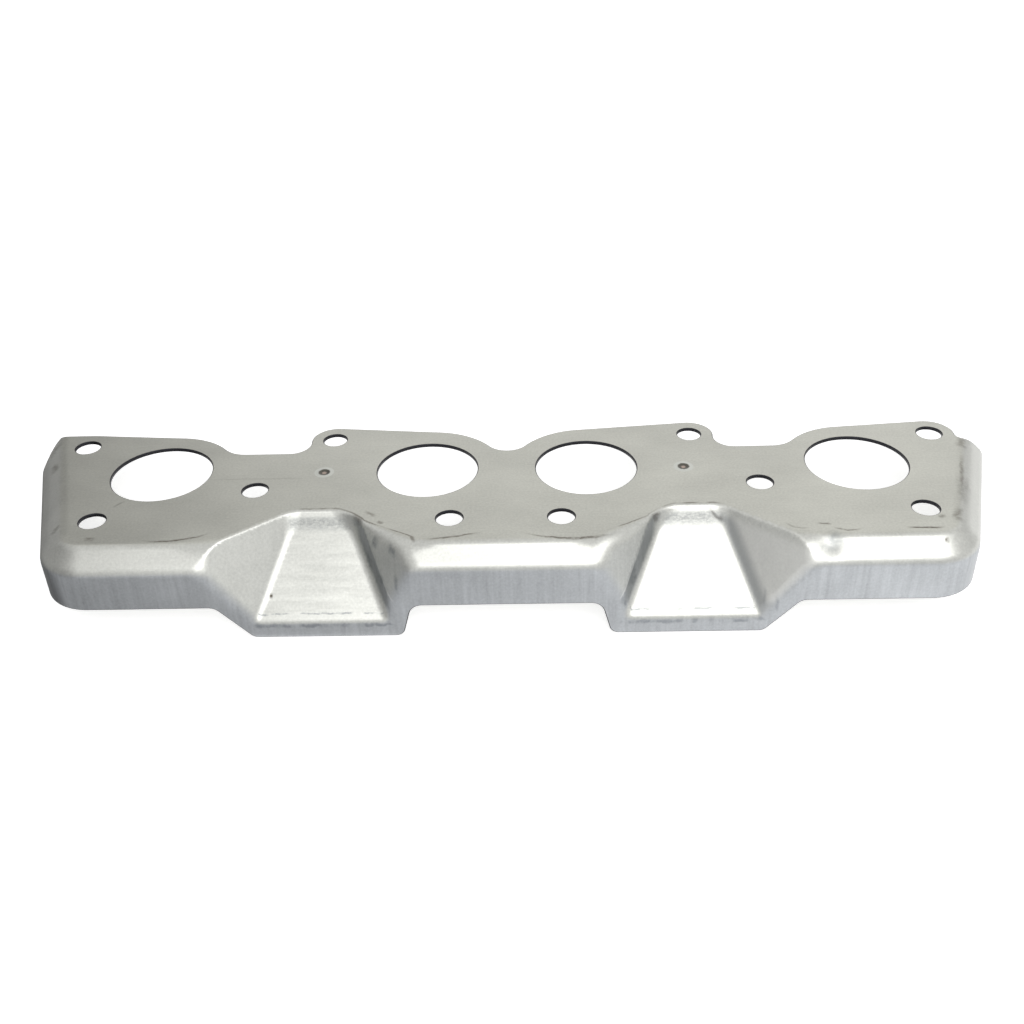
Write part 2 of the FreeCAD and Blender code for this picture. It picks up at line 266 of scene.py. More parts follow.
@dataclass
class SheetForm:
    """Sizes of the pressed sheet in millimetres, and the fields that its faces come from."""

    sheet: float = 1.5
    port_diameter: float = 40.0
    inner_port_x: float = 31.6
    outer_port_x: float = 138.5
    stud_diameter: float = 10.2
    lobe_diameter: float = 9.6
    end_stud: Pair = (174.2, 21.9)
    end_stud_shift: float = -1.1
    front_stud: Pair = (156.5, -33.4)
    channel_stud: Pair = (98.3, -13.5)
    lobe_stud: Pair = (73.5, 24.6)
    lobe_stud_shift: float = 1.6
    middle_stud: Pair = (21.0, -35.1)
    weld: Pair = (71.5, -1.0)
    weld_shift: float = -1.4
    weld_reach: float = 3.6
    front_face: float = 57.5
    end_face: float = 189.5
    end_taper_deg: float = 18.2
    corner_radius: float = 20.0
    bevel: float = 7.5
    plate_bend: float = 4.0
    skirt_bend: float = 6.0
    end_round: Pair = (13.0, 11.0)
    skirt_depth: float = 24.0
    channel_top_y: float = -28.4
    channel_top_x: Pair = (59.6, 75.6)
    channel_foot_depth: float = 31.3
    channel_foot_x: Pair = (43.8, 94.0)
    channel_shelf_x: float = 81.5
    wall_plan_deg: Pair = (43.0, 37.5)
    wall_lean_deg: Pair = (16.0, 2.0)
    flare_lean_deg: float = -2.0
    strip_width: float = 6.6
    strip_radius: float = 3.0
    brow_length: float = 6.3
    brow_deg: float = 58.0
    brow_radius: float = 2.5
    valley_radius: float = 4.5
    brow_corner_radius: float = 13.0
    rim_radius: float = 1.3
    shoulder_radius: Pair = (10.0, 12.0)
    top_radius: float = 2.0
    foot_radius: float = 4.0
    end_bend: float = 11.0
    flange_depth: float = 38.0
    flange_x: Pair = (39.0, 95.7)
    flange_deg: Pair = (75.0, 47.0)
    flange_foot_radius: float = 3.5
    flange_shoulder_radius: float = 5.0
    outer_port_margin: float = 8.7
    inner_port_margin: float = 10.0
    stud_margin: float = 5.0
    hollow_y: float = 14.2
    hollow_port_radius: float = 12.0
    hollow_lobe_radius: float = 8.0
    middle_hollow_radius: float = 9.0
    left_inset: float = 9.7
    left_clip_deg: float = 77.0
    left_corner_radius: float = 1.5
    right_skirt_end_y: float = 18.0
    right_notch_radius: float = 2.5
    tail_foot_y: float = 14.0
    tail_slope_deg: float = 40.0
    middle_level: float = 10.0
    end_facing: Pair = (0.92, 0.40)
    floor_facing: Pair = (0.78, 0.95)
    inner_facing: Pair = (-0.3, 0.3)
    bend_zone: Pair = (-9.0, -2.0)
    valley_zone: Pair = (-9.0, 0.0)
    outer_zone: Pair = (-5.0, 0.0)
    inner_zone: Pair = (-24.0, -4.0)
    foot_zone: Pair = (-8.0, -22.0)
    least_sine_squared: float = 0.04
    rest_tilt_deg: float = 11.309932474
    rest_shift: Triple = (-0.5477885, 15.0519134, 26.2795622)

    def rest_turn(self) -> Array:
        """Turn about X from the plate's frame to the bench."""
        c = math.cos(math.radians(self.rest_tilt_deg))
        s = math.sin(math.radians(self.rest_tilt_deg))
        return np.array([[1.0, 0.0, 0.0], [0.0, c, s], [0.0, -s, c]])

    def lay_down(self, points: Array) -> Array:
        """Places on the bench, in metres, of places in the plate's frame."""
        return (points @ self.rest_turn().T + np.asarray(self.rest_shift)) * MM

    def wall(self, points: Array) -> Field:
        """Signed plan distance to the outside of the rim: the front line and two tapered ends, rounded."""
        taper = math.radians(self.end_taper_deg)
        way = fold(points)[:, 0]
        front = plane(points, np.array([0.0, -1.0, 0.0]), np.array([0.0, -self.front_face, 0.0]))
        ends = np.abs(points[:, 0]) * math.cos(taper) - points[:, 1] * math.sin(taper)
        slope = np.column_stack([way * math.cos(taper), np.full(len(points), -math.sin(taper)), 0.0 * way])
        end = Field(ends - self.end_face * math.cos(taper), slope)
        return round_max(front, end, self.corner_radius)

    def rim(self, points: Array) -> Field:
        """The plate, its bevel at 45 degrees and the upright wall, with two rounded bends between them.

        The bend between plate and bevel widens close to the channels and round the ends.

        Args:
            points: places, one row each.

        Returns:
            The rim's field.
        """
        wall = self.wall(points)
        end = smooth(*self.end_facing, -wall.slope[:, 1])
        bend = between(self.plate_bend, self.end_bend, smooth(*self.bend_zone, self.channel(points).value))
        bend = between(bend, np.where(points[:, 0] < 0.0, *self.end_round), end)
        top = plane(points, UP, np.zeros(3))
        rise = (wall.value + top.value + self.bevel) / math.sqrt(2.0)
        slant = Field(rise, (wall.slope + top.slope) / math.sqrt(2.0))
        return round_max(round_max(top, slant, bend), wall, self.skirt_bend)

    def channel_planes(self) -> list[tuple[Array, Array]]:
        """The right channel's floor, brow, inner wall, outer wall and inner flare.

        The brow is the steep strip at the floor's top. The inner wall stands on its line from the channel's
        top to its foot, the outer wall on its line from the brow's end, and both lean on past the plane that
        their plan angle gives. The flare leans back from the top of the inner wall.

        Returns:
            Normal and point of each plane.
        """
        inner_top = np.array([self.channel_top_x[0], self.channel_top_y, 0.0])
        outer_top = np.array([self.channel_top_x[1], self.channel_top_y, 0.0])
        inner_foot = np.array([self.channel_foot_x[0], -self.front_face, -self.channel_foot_depth])
        outer_foot = np.array([self.channel_foot_x[1], -self.front_face, -self.channel_foot_depth])
        inner_turn, outer_turn = (math.radians(d) for d in self.wall_plan_deg)
        brow = math.radians(self.brow_deg)
        brow_down = np.array([0.0, -math.cos(brow), -math.sin(brow)])
        brow_end = outer_top + self.brow_length * brow_down
        outer_shelf = np.array([self.channel_shelf_x, brow_end[1], brow_end[2]])
        inner_lean, outer_lean = (math.radians(d) for d in self.wall_lean_deg)
        level = np.array([1.0, 0.0, 0.0])
        inner_way = np.array([-math.cos(inner_turn), -math.sin(inner_turn), 0.0])
        outer_way = np.array([math.cos(outer_turn), -math.sin(outer_turn), 0.0])
        sides = [
            (level, outer_foot - brow_end, brow_end, (0.0, -1.0, 1.0), 0.0),
            (level, brow_down, outer_top, (0.0, -1.0, 1.0), 0.0),
            (inner_way, inner_foot - inner_top, inner_top, (1.0, -1.0, 1.0), inner_lean),
            (outer_way, outer_foot - outer_shelf, outer_shelf, (-1.0, -1.0, 1.0), -outer_lean),
        ]
        sides.append((*sides[2][:4], math.radians(self.flare_lean_deg)))
        planes = []
        for along, down, through, outward, lean in sides:
            down = down / np.linalg.norm(down)
            normal = np.cross(along, down)
            normal /= np.linalg.norm(normal)
            normal = normal if normal @ np.asarray(outward) > 0.0 else -normal
            planes.append((normal * math.cos(lean) + np.cross(normal, down) * math.sin(lean), through))
        rise = np.cross(planes[2][0], inner_foot - inner_top)
        rise *= math.copysign(self.strip_width / np.linalg.norm(rise), rise[2])
        planes[4] = (planes[4][0], inner_top + rise)
        return planes

    def channel(self, points: Array) -> Field:
        """The space of a drawn channel, positive inside: above its floor and between its walls."""
        mirror = fold(points)
        floor, brow, strip, outer, flare = (plane(points * mirror, n, p) for n, p in self.channel_planes())
        inner = round_max(strip, flare, self.strip_radius)
        space = round_min(floor, brow, self.brow_radius)
        deep = smooth(*self.valley_zone, points[:, 2])
        valley = between(self.valley_radius, self.brow_corner_radius, deep)
        space = round_min(round_min(space, inner, valley), outer, valley)
        return Field(space.value, space.slope * mirror)

    def strip_offset(self, points: Array) -> Array:
        """Distance up the inner wall from the line between its steep strip and its flare."""
        folded = points * fold(points)
        _, _, strip, _, flare = (plane(folded, n, p).value for n, p in self.channel_planes())
        return (flare - strip) / math.sin(math.radians(self.wall_lean_deg[0] - self.flare_lean_deg))

    def bend_radius(self, points: Array, channel: Field) -> Array:
        """Radius of the bend round a channel: tight along the plate and at the floor's foot, wide elsewhere.

        Args:
            points: places, one row each.
            channel: the channel's field there.

        Returns:
            The radius at each place.
        """
        floor = smooth(*self.floor_facing, channel.slope @ self.channel_planes()[0][0])
        inner = smooth(*self.inner_facing, channel.slope[:, 0] * np.sign(points[:, 0]))
        shoulder = between(self.shoulder_radius[1], self.shoulder_radius[0], inner)
        depth = self.wall(points).value
        wide = smooth(*self.outer_zone, depth) * (1.0 - inner) + smooth(*self.inner_zone, depth) * inner
        sides = between(self.rim_radius, shoulder, wide)
        ends = between(self.top_radius, self.foot_radius, smooth(*self.foot_zone, points[:, 2]))
        return between(sides, ends, floor)

    def skin(self, points: Array) -> Field:
        """The outer face of the sheet: the rim less the channels, with their edges rounded."""
        channel = self.channel(points)
        return round_max(self.rim(points), channel, self.bend_radius(points, channel))

    def creases(self, points: Array) -> tuple[Array, Array]:
        """Distances from the two lines between which the bend round a channel lies.

        At the first line the channel's field, and at the second the rim's, is the radius times one less the
        cosine between the two faces, below zero. The differences are divided by the sine between the faces.

        Args:
            points: places, one row each.

        Returns:
            Distances from the line on the rim and from the line on the channel, both positive in the bend.
        """
        channel = self.channel(points)
        rim = self.rim(points)
        lean = row_dot(rim.slope, channel.slope)
        sine = np.sqrt(np.maximum(1.0 - lean ** 2, self.least_sine_squared))
        drop = self.bend_radius(points, channel) * (1.0 - lean)
        return (channel.value + drop) / sine, (rim.value + drop) / sine

    def lobe_pair(self, points: Array, port: Triple, stud: Triple) -> Field:
        """Two round lobes and the straight edge that touches both on their far sides.

        Args:
            points: places with X folded to the right half.
            port: centre and radius of the first lobe.
            stud: centre and radius of the second lobe.

        Returns:
            The field in plan, negative on the metal's side.
        """
        start = np.asarray(port[:2])
        span = np.asarray(stud[:2]) - start
        turn = math.atan2(span[1], span[0]) + math.acos((port[2] - stud[2]) / np.hypot(*span))
        out = np.array([math.cos(turn), math.sin(turn)])
        along = np.array([out[1], -out[0]])
        run = (points[:, :2] - start) @ along
        edge = plane(points, np.append(out, 0.0), np.append(start + out * port[2], 0.0))
        ends = disc(points, port[:2], port[2]).where(run < 0.0, disc(points, stud[:2], stud[2]))
        return edge.where((run >= 0.0) & (run <= span @ along), ends)

    def side_edge(self, p: Array, side: Side) -> Field:
        """Far edge of one side: lobes round its ports and studs, and hollows between them.

        Args:
            p: places with X folded to the right half.
            side: whose studs count.

        Returns:
            The field in plan, negative on the metal's side.
        """
        x = p[:, 0]
        inner = (self.inner_port_x, 0.0, self.port_diameter / 2 + self.inner_port_margin)
        outer = (self.outer_port_x, 0.0, self.port_diameter / 2 + self.outer_port_margin)
        lobe_x = self.lobe_stud[0] + side.value * self.lobe_stud_shift
        end_x = self.end_stud[0] + side.value * self.end_stud_shift
        lobe = (lobe_x, self.lobe_stud[1], self.lobe_diameter / 2 + self.stud_margin)
        end = (end_x, self.end_stud[1], self.stud_diameter / 2 + self.stud_margin)
        level = np.where(
            x > end[0], self.right_skirt_end_y, np.where(x > lobe[0], self.hollow_y, self.middle_level))
        base = Field(p[:, 1] - level, np.broadcast_to(np.array([0.0, 1.0, 0.0]), p.shape))
        kept = -larger(-base, -self.lobe_pair(p, inner, lobe))
        kept = -larger(-kept, -self.lobe_pair(p, outer, end))
        down = np.array([0.0, -1.0])

        middle = np.array([0.0, math.sqrt((inner[2] + self.middle_hollow_radius) ** 2 - inner[0] ** 2)])
        kept = hollow(kept, p, middle, self.middle_hollow_radius, (down, np.asarray(inner[:2]) - middle))
        arcs = (
            (lobe, Side.RIGHT, self.hollow_y, self.hollow_lobe_radius),
            (outer, Side.LEFT, self.hollow_y, self.hollow_port_radius),
            (end, Side.RIGHT, self.right_skirt_end_y, self.right_notch_radius),
        )
        for (lobe_x, lobe_y, lobe_radius), way, floor, radius in arcs:
            rise = floor + radius
            run = math.sqrt((lobe_radius + radius) ** 2 - (rise - lobe_y) ** 2)
            centre = np.array([lobe_x + way.value * run, rise])
            kept = hollow(kept, p, centre, radius, (np.array([lobe_x, lobe_y]) - centre, down))
        return kept

    def far_edge(self, points: Array) -> Field:
        """Plan field of the far edge: both sides' lobes and hollows, and the clipped left corner."""
        mirror = fold(points)
        right, left = (self.side_edge(points * mirror, side) for side in (Side.RIGHT, Side.LEFT))
        kept = right.where(mirror[:, 0] > 0.0, left)
        kept = Field(kept.value, kept.slope * mirror)

        clip = math.radians(self.left_clip_deg)
        far_y = self.end_stud[1] + self.stud_diameter / 2 + self.stud_margin
        end_x = self.end_face + far_y * math.tan(math.radians(self.end_taper_deg))
        corner = np.array([self.left_inset - end_x, far_y, 0.0])
        square = round_max(
            plane(points, np.array([0.0, 1.0, 0.0]), corner),
            plane(points, np.array([-math.sin(clip), math.cos(clip), 0.0]), corner),
            self.left_corner_radius)
        return square.where(points[:, 0] < self.end_stud_shift - self.end_stud[0], kept)

    def foot(self, points: Array) -> Field:
        """Front-view field of the skirt's foot with its two deeper flanges, and the sloping rear tails."""
        mirror = fold(points)
        folded = points * mirror
        shoulder = plane(folded, -UP, -self.skirt_depth * UP)
        flange = plane(folded, -UP, -self.flange_depth * UP)
        for side, x, lean_deg in zip(Side, self.flange_x, self.flange_deg):
            lean = math.radians(lean_deg)
            normal = np.array([side.value * math.sin(lean), 0.0, -math.cos(lean)])
            edge = plane(folded, normal, np.array([x, 0.0, -self.flange_depth]))
            flange = round_max(flange, edge, self.flange_foot_radius)
        kept = round_min(shoulder, flange, self.flange_shoulder_radius)
        kept = Field(kept.value, kept.slope * mirror)
        slope = math.radians(self.tail_slope_deg)
        behind = plane(
            points, np.array([0.0, math.sin(slope), -math.cos(slope)]),
            np.array([0.0, self.tail_foot_y, -self.skirt_depth]))
        under = plane(points, -UP, -(self.bevel + self.sheet) * UP)
        return larger(kept, -larger(-behind, -under))

    def holes(self) -> list[Triple]:
        """Centre and radius of every port and stud hole."""
        drills = []
        for side in Side:
            for x in (self.inner_port_x, self.outer_port_x):
                drills.append((side.value * x, 0.0, self.port_diameter / 2))
            for x, y in (self.front_stud, self.channel_stud, self.middle_stud):
                drills.append((side.value * x, y, self.stud_diameter / 2))
            end_x = side.value * self.end_stud[0] + self.end_stud_shift
            lobe_x = side.value * self.lobe_stud[0] + self.lobe_stud_shift
            drills.append((end_x, self.end_stud[1], self.stud_diameter / 2))
            drills.append((lobe_x, self.lobe_stud[1], self.lobe_diameter / 2))
        return drills

    def welds(self) -> list[Triple]:
        """Centre and radius of the round patches that carry the spot-weld marks."""
        x, y = self.weld
        return [(side.value * x + self.weld_shift, y, self.weld_reach) for side in Side]

    def trim(self, points: Array) -> Field:
        """Field of everything that is trimmed away: past the far edge and the foot, and in the holes."""
        kept = larger(self.far_edge(points), self.foot(points))
        for x, y, radius in self.holes() + self.welds():
            kept = larger(kept, -disc(points, (x, y), radius))
        return kept


@dataclass
class Skin:
    """A triangulated skin in the plate's frame: points, normals and rows of three point numbers."""

    points: Array
    normals: Array
    triangles: Array


@dataclass
class SheetSkin:
    """Turns the form into a trimmed skin of triangles.

    The grid's columns stand round a spine under the row of ports, and its rows run from the spine out over
    the plate, the bevel and the skirt. Each grid point is where the ray from the spine through a guide
    point leaves the form.
    """

    form: SheetForm
    spine_depth: float = 45.0
    channel_zone: Pair = (36.0, 104.0)
    fine_step: float = 0.85
    plain_step: float = 1.35
    fan_columns: int = 110
    plate_rows: int = 42
    wall_cap: float = 76.0
    far_cap: float = 48.0
    far_facing: Pair = (0.97, 0.75)
    halvings: tuple[int, int] = (30, 32)
    ray_bound: float = 2.6
    plate_margin: float = -10.8
    bend_guides: tuple[Pair, ...] = (
        (-9.9, 0.0), (-9.1, -0.15), (-8.3, -0.5), (-7.5, -0.9), (-6.6, -1.5), (-5.2, -2.6), (-3.8, -4.0),
        (-2.8, -5.1), (-2.0, -6.0), (-1.3, -7.0), (-0.8, -8.0), (-0.4, -9.0), (-0.1, -10.0), (0.0, -11.0))
    skirt_guides: tuple[tuple[float, float, int], ...] = ((-12.2, -24.0, 10), (-24.9, -40.5, 18))
    edge_radius: float = 0.35
    snap: float = 0.36
    snap_rounds: int = 3
    cut_rounds: int = 7
    least_slope: float = 0.15

    def column_x(self) -> Array:
        """Places of the straight columns along X, closer together over the channels."""
        stops = [0.0, self.channel_zone[0], self.channel_zone[1], self.form.outer_port_x]
        steps = [self.plain_step, self.fine_step, self.plain_step]
        half = [np.array([0.0])]
        for start, stop, step in zip(stops[:-1], stops[1:], steps):
            half.append(np.linspace(start, stop, int(round((stop - start) / step)) + 1)[1:])
        right = np.concatenate(half)
        return np.concatenate([-right[:0:-1], right])

    def columns(self) -> tuple[Array, Array, int]:
        """Foot on the spine and plan direction of every column, once round the sheet.

        Returns:
            Feet along X, directions in plan, and the number of straight columns on one side.
        """
        x = self.column_x()
        turn = np.linspace(-math.pi / 2, math.pi / 2, self.fan_columns + 2)[1:-1]
        fan = np.column_stack([np.cos(turn), np.sin(turn)])
        down = np.tile([0.0, -1.0], (len(x), 1))
        end = self.form.outer_port_x
        feet = np.concatenate([x, np.full(len(turn), end), x[::-1], np.full(len(turn), -end)])
        ways = np.concatenate([down, fan, -down, -fan])
        return feet, ways, len(x)

    def wall_reach(self, feet: Array, ways: Array) -> Array:
        """Plan distance from each foot to the rim's outside by halving, with a cap where the rim is open."""
        cap = between(self.far_cap, self.wall_cap, smooth(*self.far_facing, ways[:, 1]))
        start = np.column_stack([feet, 0.0 * feet, 0.0 * feet])
        way = np.column_stack([ways, 0.0 * feet])

        def inside(reach: Array) -> Array:
            """Whether places that far from the feet lie within the rim."""
            return self.form.wall(start + reach[:, None] * way).value < 0.0

        return halved(inside, np.zeros(len(feet)), cap, self.halvings[0])[1]

    def guide_rows(self) -> Array:
        """Guide points from the spine outwards: share of the plate, offset from the wall, and depth."""
        shares = np.linspace(0.0, 1.0, self.plate_rows)
        plate = np.column_stack([shares, np.full(self.plate_rows, self.plate_margin), 0.0 * shares])
        bends = np.array(self.bend_guides)
        skirt = np.concatenate([np.linspace(*guide) for guide in self.skirt_guides])
        rim = np.column_stack([np.ones(len(bends)), bends])
        drop = np.column_stack([np.ones(len(skirt)), np.zeros(len(skirt)), skirt])
        return np.concatenate([plate, rim, drop])

    def press(self, start: Array, way: Array) -> Array:
        """Where rays leave the form: the last inside place on each ray, by halving."""
        def inside(reach: Array) -> Array:
            """Whether places at those shares of the rays lie in the form."""
            return self.form.skin(start + reach[:, None] * way).value < 0.0

        bound = np.full(len(start), self.ray_bound)
        low, high = halved(inside, np.zeros(len(start)), bound, self.halvings[1])
        return start + ((low + high) / 2)[:, None] * way

    def grid(self) -> tuple[Array, Array]:
        """The untrimmed skin.

        Returns:
            Points, and triangles as rows of three point numbers.
        """
        feet, ways, straight = self.columns()
        rows = self.guide_rows()
        reach = self.wall_reach(feet, ways)
        share, offset, depth = rows.T
        across = share[None, :] * (reach[:, None] + offset[None, :])
        shape = across.shape
        out_x = feet[:, None] + across * ways[:, :1]
        target = np.stack([out_x, across * ways[:, 1:], np.broadcast_to(depth, shape)], axis=2)
        spine = np.stack([feet, 0.0 * feet, 0.0 * feet - self.spine_depth], axis=1)
        start = np.broadcast_to(spine[:, None, :], target.shape)
        points = self.press(start.reshape(-1, 3), (target - start).reshape(-1, 3))

        columns, count = shape
        number = np.arange(columns * count).reshape(columns, count)
        fan = self.fan_columns
        number[straight + fan:2 * straight + fan, 0] = number[:straight, 0][::-1]
        number[straight:straight + fan, 0] = number[straight - 1, 0]
        number[2 * straight + fan:, 0] = number[0, 0]
        after = np.roll(number, -1, axis=0)
        a, b, c, d = number[:, :-1], number[:, 1:], after[:, 1:], after[:, :-1]
        even = (np.add.outer(np.arange(columns), np.arange(count - 1)) % 2 == 0)[..., None]
        first = np.where(even, np.stack([a, b, c], 2), np.stack([a, b, d], 2))
        second = np.where(even, np.stack([a, c, d], 2), np.stack([b, c, d], 2))
        triangles = np.concatenate([first.reshape(-1, 3), second.reshape(-1, 3)])
        return points, self.proper(triangles)

    @staticmethod
    def proper(triangles: Array) -> Array:
        """Triangles whose three corners differ."""
        a, b, c = triangles.T
        return triangles[(a != b) & (b != c) & (a != c)]

    def edge_distance(self, points: Array) -> tuple[Array, Array]:
        """Distance along the sheet to the trimmed edge, set back by the edge's radius.

        Args:
            points: places, one row each.

        Returns:
            The distance, negative on the metal, and the direction along the sheet towards the edge.
        """
        normal = unit(self.form.skin(points).slope)
        trim = self.form.trim(points)
        along = trim.slope - row_dot(trim.slope, normal)[:, None] * normal
        steep = np.maximum(np.linalg.norm(along, axis=1), self.least_slope)
        return trim.value / steep + self.edge_radius, along / steep[:, None]

    def settle(self, points: Array) -> Array:
        """Points moved along their normals on to the form."""
        skin = self.form.skin(points)
        return points - skin.value[:, None] * skin.slope

    def trimmed(self) -> Skin:
        """The skin cut along its edges and holes.

        Points near the edge are first moved on to it. A triangle across the edge is then cut where the
        distance to the edge passes through zero, found by false position on the crossed sides.

        Returns:
            The trimmed skin.
        """
        points, triangles = self.grid()
        level = self.edge_distance(points)[0]
        close = np.abs(level) < self.snap
        for _ in range(self.snap_rounds):
            moved, way = self.edge_distance(points[close])
            points[close] = self.settle(points[close] - moved[:, None] * way)
        level[close] = 0.0

        corner = level[triangles]
        inside = triangles[(corner.max(axis=1) <= 0.0) & (corner.min(axis=1) < 0.0)]
        crossed = triangles[(corner.max(axis=1) > 0.0) & (corner.min(axis=1) < 0.0)]
        corner = level[crossed]
        count = (corner > 0.0).sum(axis=1)
        one_out = self.lead(crossed[count == 1], level, True)
        two_out = self.lead(crossed[count == 2], level, False)

        sides = np.concatenate(
            [one_out[:, [1, 0]], one_out[:, [2, 0]], two_out[:, [0, 1]], two_out[:, [0, 2]]])
        cut = sides[level[sides[:, 0]] < 0.0]
        size = len(points)
        keys, place = np.unique(cut[:, 0] * size + cut[:, 1], return_index=True)
        pairs = cut[place]
        fresh = self.crossing(points, pairs, level)

        def cut_point(kept: Array, lost: Array) -> Array:
            """Number of the point where a side is cut, or of its kept end if that lies on the edge."""
            found = np.searchsorted(keys, kept * size + lost)
            return np.where(level[kept] < 0.0, size + np.minimum(found, len(keys) - 1), kept)

        out, left, right = one_out.T
        on_left = cut_point(left, out)
        on_right = cut_point(right, out)
        tip, far_left, far_right = two_out.T
        pieces = [
            inside,
            np.stack([on_left, left, right], 1),
            np.stack([on_left, right, on_right], 1),
            np.stack([tip, cut_point(tip, far_left), cut_point(tip, far_right)], 1),
        ]
        joined = self.proper(np.concatenate(pieces))
        points = np.concatenate([points, fresh])
        used, compact = np.unique(joined, return_inverse=True)
        points = points[used]
        normals = unit(self.form.skin(points).slope)
        return Skin(points, normals, compact.reshape(-1, 3))

    @staticmethod
    def lead(triangles: Array, level: Array, outside: bool) -> Array:
        """Triangles turned so that their one odd corner comes first.

        Args:
            triangles: triangles with one corner apart from the others.
            level: distance to the edge at each point.
            outside: whether the odd corner is the one past the edge.

        Returns:
            The same triangles, each in its own order round.
        """
        past = level[triangles] > 0.0
        first = np.argmax(past if outside else ~past, axis=1)
        order = (first[:, None] + np.arange(3)[None, :]) % 3
        return np.take_along_axis(triangles, order, axis=1)

    def crossing(self, points: Array, pairs: Array, level: Array) -> Array:
        """Places where sides cross the edge, by false position along each side."""
        start, stop = points[pairs[:, 0]], points[pairs[:, 1]]
        low, high = np.zeros(len(pairs)), np.ones(len(pairs))
        low_level, high_level = level[pairs[:, 0]].copy(), level[pairs[:, 1]].copy()
        share = np.zeros(len(pairs))
        for _ in range(self.cut_rounds):
            share = low - low_level * (high - low) / (high_level - low_level)
            here = self.edge_distance(start + share[:, None] * (stop - start))[0]
            inside = here < 0.0
            low, low_level = np.where(inside, share, low), np.where(inside, here, low_level)
            high, high_level = np.where(inside, high, share), np.where(inside, high_level, here)
        return start + share[:, None] * (stop - start)


def open_sides(triangles: Array) -> Array:
    """Sides that belong to one triangle only, each in that triangle's order."""
    sides = np.concatenate([triangles[:, [0, 1]], triangles[:, [1, 2]], triangles[:, [2, 0]]])
    size = int(triangles.max()) + 1
    forward = sides[:, 0] * size + sides[:, 1]
    backward = sides[:, 1] * size + sides[:, 0]
    return sides[~np.isin(forward, backward)]


@dataclass
class MeshParts:
    """Points, normals, triangles and their material slots that are joined into one mesh."""

    points: list[Array] = field(default_factory=list)
    normals: list[Array] = field(default_factory=list)
    triangles: list[Array] = field(default_factory=list)
    faces: list[Array] = field(default_factory=list)
    count: int = 0

    def add_points(self, points: Array, normals: Array) -> int:
        """Add points with their normals, and return the number of the first."""
        start = self.count
        self.points.append(points)
        self.normals.append(normals)
        self.count += len(points)
        return start

    def add_triangles(self, triangles: Array, face: Face) -> None:
        """Add triangles with the material slot that they take."""
        self.triangles.append(triangles)
        self.faces.append(np.full(len(triangles), face.value))

    def add_strip(self, upper: Array, lower: Array, sides: Array, face: Face) -> None:
        """Join two rows of points that follow the same open sides.

        Args:
            upper: point number on the upper row for each point of the skin's edge.
            lower: point number on the lower row for the same points.
            sides: open sides, as pairs of places in the two rows.
            face: material slot of the strip.
        """
        a, b = sides.T
        self.add_triangles(np.stack([upper[b], upper[a], lower[a]], 1), face)
        self.add_triangles(np.stack([upper[b], lower[a], lower[b]], 1), face)


@dataclass(frozen=True)
class ScuffOrShade:
    """A dark patch, as used for rubbed marks and for painted shade: its middle, turn, half length, half
    width, strength, bend and height.
    """

    middle: Pair
    turn_deg: float
    length: float
    width: float
    strength: float
    bend: float = 0.0
    height: float = 0.0


